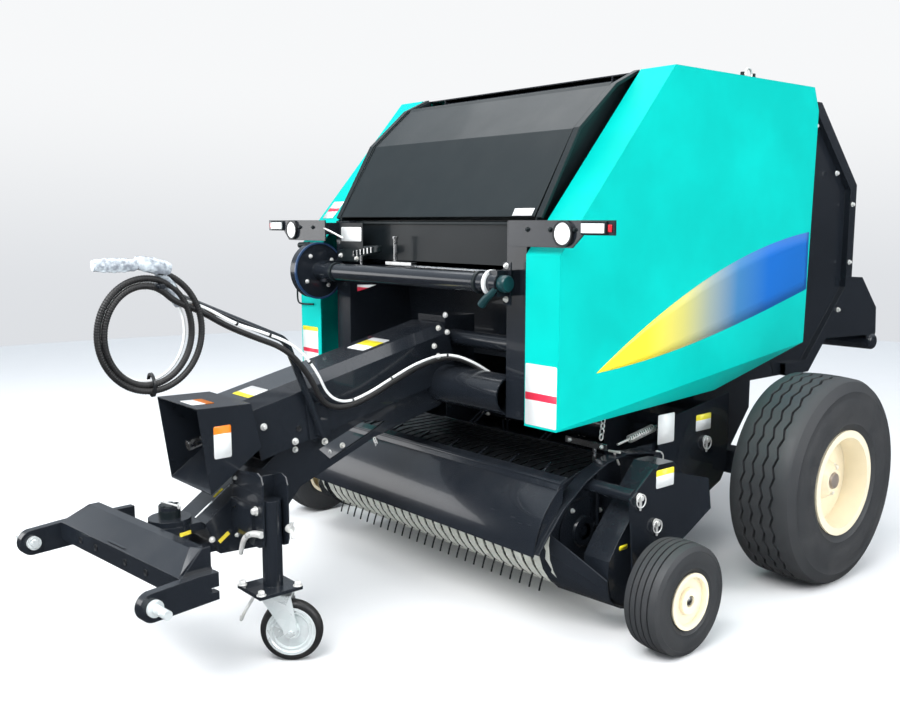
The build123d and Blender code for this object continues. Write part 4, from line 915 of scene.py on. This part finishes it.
piece("drawbar_marks", join(dash((-1.605, 0.381), (-1.568, 0.407), 0.0953),
                            copies(block((-0.006, -0.022, -0.002), (0.006, 0.022, 0.003)),
                                   [(0.0716, -1.7145, 0.428)], (0.961, 0.276, 0), (0, 0, 1)),
                            rods([(0.0, -1.570, 0.5085), (0.0, -1.537, 0.5325)], radius=0.006)),
      marks, "chassis")
tunnel_side, drawbar_side = 0.1255, 0.0955
bolts("tunnel_side_bolts", "chassis",
      [([(tunnel_side, -1.440, 0.761), (tunnel_side, -1.317, 0.692),
         (tunnel_side, -1.195, 0.674)], (1, 0, 0), 0.8),
       ([(drawbar_side, -1.300, 0.655), (drawbar_side, -1.100, 0.640),
         (drawbar_side, -1.631, 0.395)], (1, 0, 0), 0.7)])
piece("drawbar_rod", rods([(0.098, -1.690, 0.483), (0.098, -1.543, 0.586)], radius=0.003), bright,
      "chassis")
piece("tunnel_side_hole", copies(hole, [(0.1255, -1.301, 0.736)], (1, 0, 0)), black_plastic,
      "chassis")

lid_slope = (1.785 - 1.473) / (0.617 - 0.426)
lid_corners = [(0.486, 1.477), (0.585, 1.477), (0.585, 1.503), (0.486, 1.503)]
film_sign("lid_sign", leaning(lid_corners, -0.6225, 1.473, lid_slope), [(0, white)], "net_lid")

# ================================================================ net feed area
# The panel across the net recess wears the painted-shade copy of the charcoal paint.
piece("net_front_panel", block((-0.496, -0.604, 1.296), (0.496, -0.601, 1.452)), recess_shade_paint,
      "chassis")
piece("net_front_lip", block((-0.496, -0.612, 1.444), (0.496, -0.596, 1.456)), charcoal, "chassis",
      bevel=0.0015)
rod_end = (0.470, -0.648, 1.274)
tension_rod = join(rods([(-0.035, -0.648, 1.277), rod_end], radius=0.006, sides=14),
                   rods([rod_end, (0.492, -0.648, 1.274)], radius=0.012))
piece("net_tension_rod", tension_rod, bright, "chassis", sharp=60)
piece("net_brake_pin", join(rods([(-0.158, -0.655, 1.296), (-0.158, -0.655, 1.386)], radius=0.008),
                            block((-0.205, -0.672, 1.280), (-0.035, -0.640, 1.294)),
                            rods([(-0.158, -0.655, 1.386), (-0.158, -0.655, 1.396)], radius=0.012)),
      bright, "chassis", sharp=50)
casting = [(-0.550, 1.284), (-0.548, 1.332), (-0.450, 1.350), (-0.256, 1.357), (-0.256, 1.329),
           (-0.345, 1.312), (-0.385, 1.284)]
casting_points, casting_faces = prism(casting, 0.026)
piece("net_casting", (casting_points[:, [0, 2, 1]] + (0, -0.676, 0), casting_faces), charcoal,
      "chassis", bevel=0.004)
teeth = [(x, -0.679, 1.320 + (x + 0.419) * 0.15) for x in np.linspace(-0.419, -0.291, 6)]
tooth = block((-0.012, -0.004, 0), (0.012, 0.004, 0.004))
casting_rod = rods([(-0.360, -0.682, 1.313), (-0.360, -0.682, 1.267)], radius=0.007)
piece("net_casting_teeth", join(copies(tooth, teeth, (0, -1, 0), (0, 0, 1)), casting_rod), bright,
      "chassis")
bolts("net_wall_bolts", "chassis",
      [([(-0.520, -0.6765, 1.310), (-0.400, -0.6765, 1.300), (0.551, -0.7065, 1.303),
         (0.551, -0.7065, 1.186)], (0, -1, 0), 0.7)])
piece("bar_post_bracket", block((0.534, -0.7065, 1.166), (0.572, -0.700, 1.316)), dark, "chassis",
      bevel=0.001)
flag = [(-0.446, -0.645, 1.185), (-0.309, -0.645, 1.192), (-0.380, -0.645, 1.172),
        (-0.446, -0.645, 1.157)]
film_sign("roll_flag", flag, [(0, red), (1.176, white)], "chassis")
bar_axis_y, bar_axis_z, bar_r = -0.739, 1.243, 0.0362


def on_bar(name, profile, places, finish, steps=32, sharp=40):
    """A (radius, x) profile turned about the bar's axis, once at each x in places."""
    piece(name, copies(lathe(profile, steps), [(x, bar_axis_y, bar_axis_z) for x in places],
                       (1, 0, 0)), finish, "chassis", sharp=sharp)


on_bar("bar_rings", ring_profile(bar_r, 0.041, -0.007, 0.007), [0.452, -0.464], charcoal)
on_bar("bar_nylon_ring", ring_profile(bar_r, 0.047, -0.006, 0.006), [0.512], white_plastic)
knob_profile = [(0.0, -0.018), (0.026, -0.018), (0.030, -0.012), (0.030, 0.012),
                (0.026, 0.018), (0.0, 0.018)]
on_bar("bar_knob", knob_profile, [0.579], teal)
bar_lever = curve_through([(0.560, -0.768, 1.225), (0.540, -0.772, 1.205),
                           (0.513, -0.770, 1.190), (0.488, -0.766, 1.166)], 20)
piece("bar_lever", tube(bar_lever, np.linspace(0.010, 0.016, 20), 10), teal, "chassis", sharp=60)
cup_bolt_ring = [(-0.5975, bar_axis_y + 0.078 * math.cos(a), bar_axis_z + 0.078 * math.sin(a))
                 for a in quarters]
bolts("cup_bolts", "chassis", [(cup_bolt_ring, (1, 0, 0), 0.6)])
on_bar("cup_rim", ring_profile(0.116, 0.1235, 0.0, 0.010), [-0.604], blue_rim, steps=64, sharp=38)
far_wire = [(-0.799, -0.708, 1.193), (-0.820, -0.716, 1.180), (-0.822, -0.716, 1.135),
            (-0.822, -0.716, 1.092), (-0.803, -0.712, 1.082), (-0.695, -0.712, 1.088)]
far_grip = [(-0.783, -0.722, 1.350), (-0.700, -0.722, 1.353)]
piece("far_wire_handle", join(rods(far_wire, radius=0.004, smooth=30),
                              rods(far_grip, radius=0.013)),
      charcoal, "cover_right", sharp=60)
rope_bow = [(-0.615, -0.712, 1.432), (-0.570, -0.722, 1.424), (-0.529, -0.722, 1.413),
            (-0.471, -0.700, 1.386)]
piece("net_rope_bow", rods(rope_bow, radius=0.004, smooth=20), zinc, "chassis", sharp=60)
cover_slope = (2.014 - 1.345) / (0.705 - 0.120)
cover_corners = [(-0.783, 1.470), (-0.702, 1.470), (-0.702, 1.545), (-0.783, 1.545)]
film_sign("band_sign_right", leaning(cover_corners, -0.7065, 1.345, cover_slope),
          [(0, white), (1.50, red), (1.515, white)], "cover_right")

valve = lathe([(0, 0), (0.016, 0), (0.016, 0.030), (0.011, 0.034), (0.011, 0.052), (0, 0.052)], 20)
fit_x, fit_y, roof = 0.515, 0.785, 2.010
eye = np.linspace(0, turn, 30)
piece("roof_valve", join(block((fit_x - 0.030, fit_y - 0.090, roof),
                               (fit_x + 0.030, fit_y + 0.090, roof + 0.008)),
                         block((fit_x - 0.020, fit_y - 0.062, roof + 0.008),
                               (fit_x + 0.020, fit_y + 0.062, roof + 0.050)),
                         copies(valve, [(fit_x + 0.020, fit_y + d, roof + 0.030)
                                        for d in (-0.040, 0.002, 0.044)], (1, 0, 0.15), size=0.7),
                         copies(valve, [(fit_x - 0.004, fit_y + d, roof + 0.050)
                                        for d in (-0.045, 0.040)], (0, 0, 1), size=0.8)),
      charcoal, "chassis", bevel=0.002, stands_for=["top_fittings"])
piece("roof_valve_ring", tube(np.column_stack([np.full(len(eye), fit_x + 0.010),
                                               fit_y - 0.020 + 0.024 * np.cos(eye),
                                               roof + 0.080 + 0.026 * np.sin(eye)]), 0.0045, 8,
                              guide=(1, 0.01, 0)),
      zinc, "chassis", sharp=60)

# ================================================================ gearbox, lamps, rear
gearbox_face = 0.2005
gearbox_places = [(gearbox_face, -0.693, 1.104), (gearbox_face, -0.727, 1.057),
                  (gearbox_face, -0.683, 1.038), (gearbox_face, -0.747, 0.990),
                  (gearbox_face, -0.727, 0.950)]
bolts("gearbox_bolts", "chassis", [(gearbox_places, (1, 0, 0), 0.7)])
lamp_places = [(side * x, -0.722, 1.430) for x in (0.670, 0.776, 0.885) for side in (1, -1)]
bolts("lamp_bolts", "chassis", [(lamp_places, (0, -1, 0), 0.55)], charcoal)
piece("red_reflectors", mirrored(block((1.024, -0.7265, 1.424), (1.040, -0.722, 1.448))), red_lens,
      "chassis", bevel=0.002)
rim_ring = lathe(ring_profile(0.036, 0.043, 0.0, 0.012), 40)
piece("reflector_rims", mirrored(copies(rim_ring, [(0.838, -0.722, 1.418)], (0, -1, 0))),
      black_plastic, "chassis")
piece("lamp_bodies", mirrored(block((0.916, -0.730, 1.414), (1.020, -0.722, 1.458))), charcoal,
      "chassis", bevel=0.002)
gate_rim = [(0.5305, 1.339, 1.905), (0.5305, 1.554, 1.690), (0.5305, 1.728, 1.540),
            (0.5305, 1.728, 1.249), (0.5305, 1.640, 1.010)]
bolts("gate_rim_bolts", "tailgate", [(gate_rim, (1, 0, 0), 0.8),
                                     ([(-x, y, z) for x, y, z in gate_rim], (-1, 0, 0), 0.8)])

# ================================================================ camera, light, floor
view = bpy.data.cameras.new("view")
view.sensor_width, view.lens = 36.0, 39.03
camera = bpy.data.objects.new("view", view)
camera.location = (3.0332, -3.0694, 1.4612)
camera.rotation_euler = (math.radians(90 - 8.1546), 0, math.radians(49.7107))
bpy.context.scene.collection.objects.link(camera)
bpy.context.scene.camera = camera
bpy.context.scene.view_settings.view_transform = "Standard"

world = bpy.data.worlds.new("studio")
bpy.context.scene.world = world
world.use_nodes = True
background = world.node_tree.nodes["Background"]
background.inputs["Strength"].default_value = 1.0
direction = world.node_tree.nodes.new("ShaderNodeTexCoord")
height = world.node_tree.nodes.new("ShaderNodeSeparateXYZ")
sky = world.node_tree.nodes.new("ShaderNodeValToRGB")
for _ in range(2):
    sky.color_ramp.elements.new(1.0)
for element, (position, colour) in zip(sky.color_ramp.elements, (
        (0.0, (0.05, 0.05, 0.05, 1)), (0.12, (0.20, 0.21, 0.23, 1)), (0.4, (0.52, 0.58, 0.64, 1)),
        (1.0, (0.9, 0.97, 1.05, 1)))):
    element.position, element.color = position, colour
world.node_tree.links.new(direction.outputs["Generated"], height.inputs[0])
world.node_tree.links.new(height.outputs["Z"], sky.inputs["Fac"])
world.node_tree.links.new(sky.outputs["Color"], background.inputs["Color"])


def softbox(name, place, target, size, power):
    """A rectangular area light at a place, turned so that it faces its target."""
    light = bpy.data.lights.new(name, "AREA")
    light.shape, light.size, light.size_y, light.energy = "RECTANGLE", size[0], size[1], power
    box = bpy.data.objects.new(name, light)
    box.location = place
    aim = np.array(target) - np.array(place)
    box.rotation_euler = (math.atan2(math.hypot(aim[0], aim[1]), -aim[2]), 0,
                          math.atan2(-aim[0], aim[1]))
    bpy.context.scene.collection.objects.link(box)


softbox("key", (1.5, -4.5, 5.0), (0, 0, 0.8), (4.5, 3.0), 420)
softbox("fill", (5.5, 1.0, 3.0), (0.5, 0, 0.9), (3.5, 3.0), 160)
softbox("top", (-1.0, 0.5, 5.5), (0, 0, 1.0), (5.0, 5.0), 170)
softbox("front_left", (-4.5, -4.2, 1.7), (0, -0.6, 0.6), (3.6, 1.8), 60)
floor_finish = Finish("pale_floor", 0.8, gloss=0.1)
floor_finish.set("Base Color", floor_finish.mix(floor_finish.noise(3.0), (0.86, 0.86, 0.86),
                                                (0.88, 0.88, 0.88)))
floor_r, disc_r, bowl_r, backdrop_top = 9.0, 5.0, 5.0, 18.0
rise = np.radians(np.linspace(0, 80, 12))[1:]
bowl = [(floor_r, 0.0), *zip(floor_r + bowl_r * np.sin(rise), bowl_r - bowl_r * np.cos(rise))]
glow = Finish("backdrop_white", 1.0, gloss=0.0)
# The glowing backdrop is painted darker towards the floor: painted shade standing in for a lit
# wall's falloff.
tone = glow.along("Z").step(-0.5, 4.0)
glow.set("Base Color", (0.0, 0.0, 0.0)).set("Emission Color",
                                            glow.mix(tone, (0.72, 0.74, 0.77), (0.93, 0.94, 0.95)))
glow.shader.inputs["Emission Strength"].default_value = 1.0


def stage_piece(name, profile, finish, hidden):
    """Part of the studio, turned about the upright axis; hidden names the rays that miss it."""
    points, faces = lathe(profile, 96)
    mesh = bpy.data.meshes.new(name)
    mesh.from_pydata(points.tolist(), [], faces[0].tolist())
    mesh.polygons.foreach_set("use_smooth", np.ones(len(mesh.polygons), bool))
    mesh.materials.append(finish.material)
    made = bpy.data.objects.new(name, mesh)
    for ray in hidden:
        setattr(made, "visible_" + ray, False)
    bpy.context.scene.collection.objects.link(made)


stage_piece("floor", [(0.0, 0.0), (disc_r, 0.0), (floor_r, 0.0)], floor_finish, ["glossy"])
stage_piece("studio_bowl", bowl, floor_finish, ["glossy", "camera"])
stage_piece("backdrop", [(floor_r, -0.002), (floor_r + bowl_r, 0.5),
                         (floor_r + bowl_r, backdrop_top)], glow,
            ["glossy", "diffuse", "shadow", "transmission"])
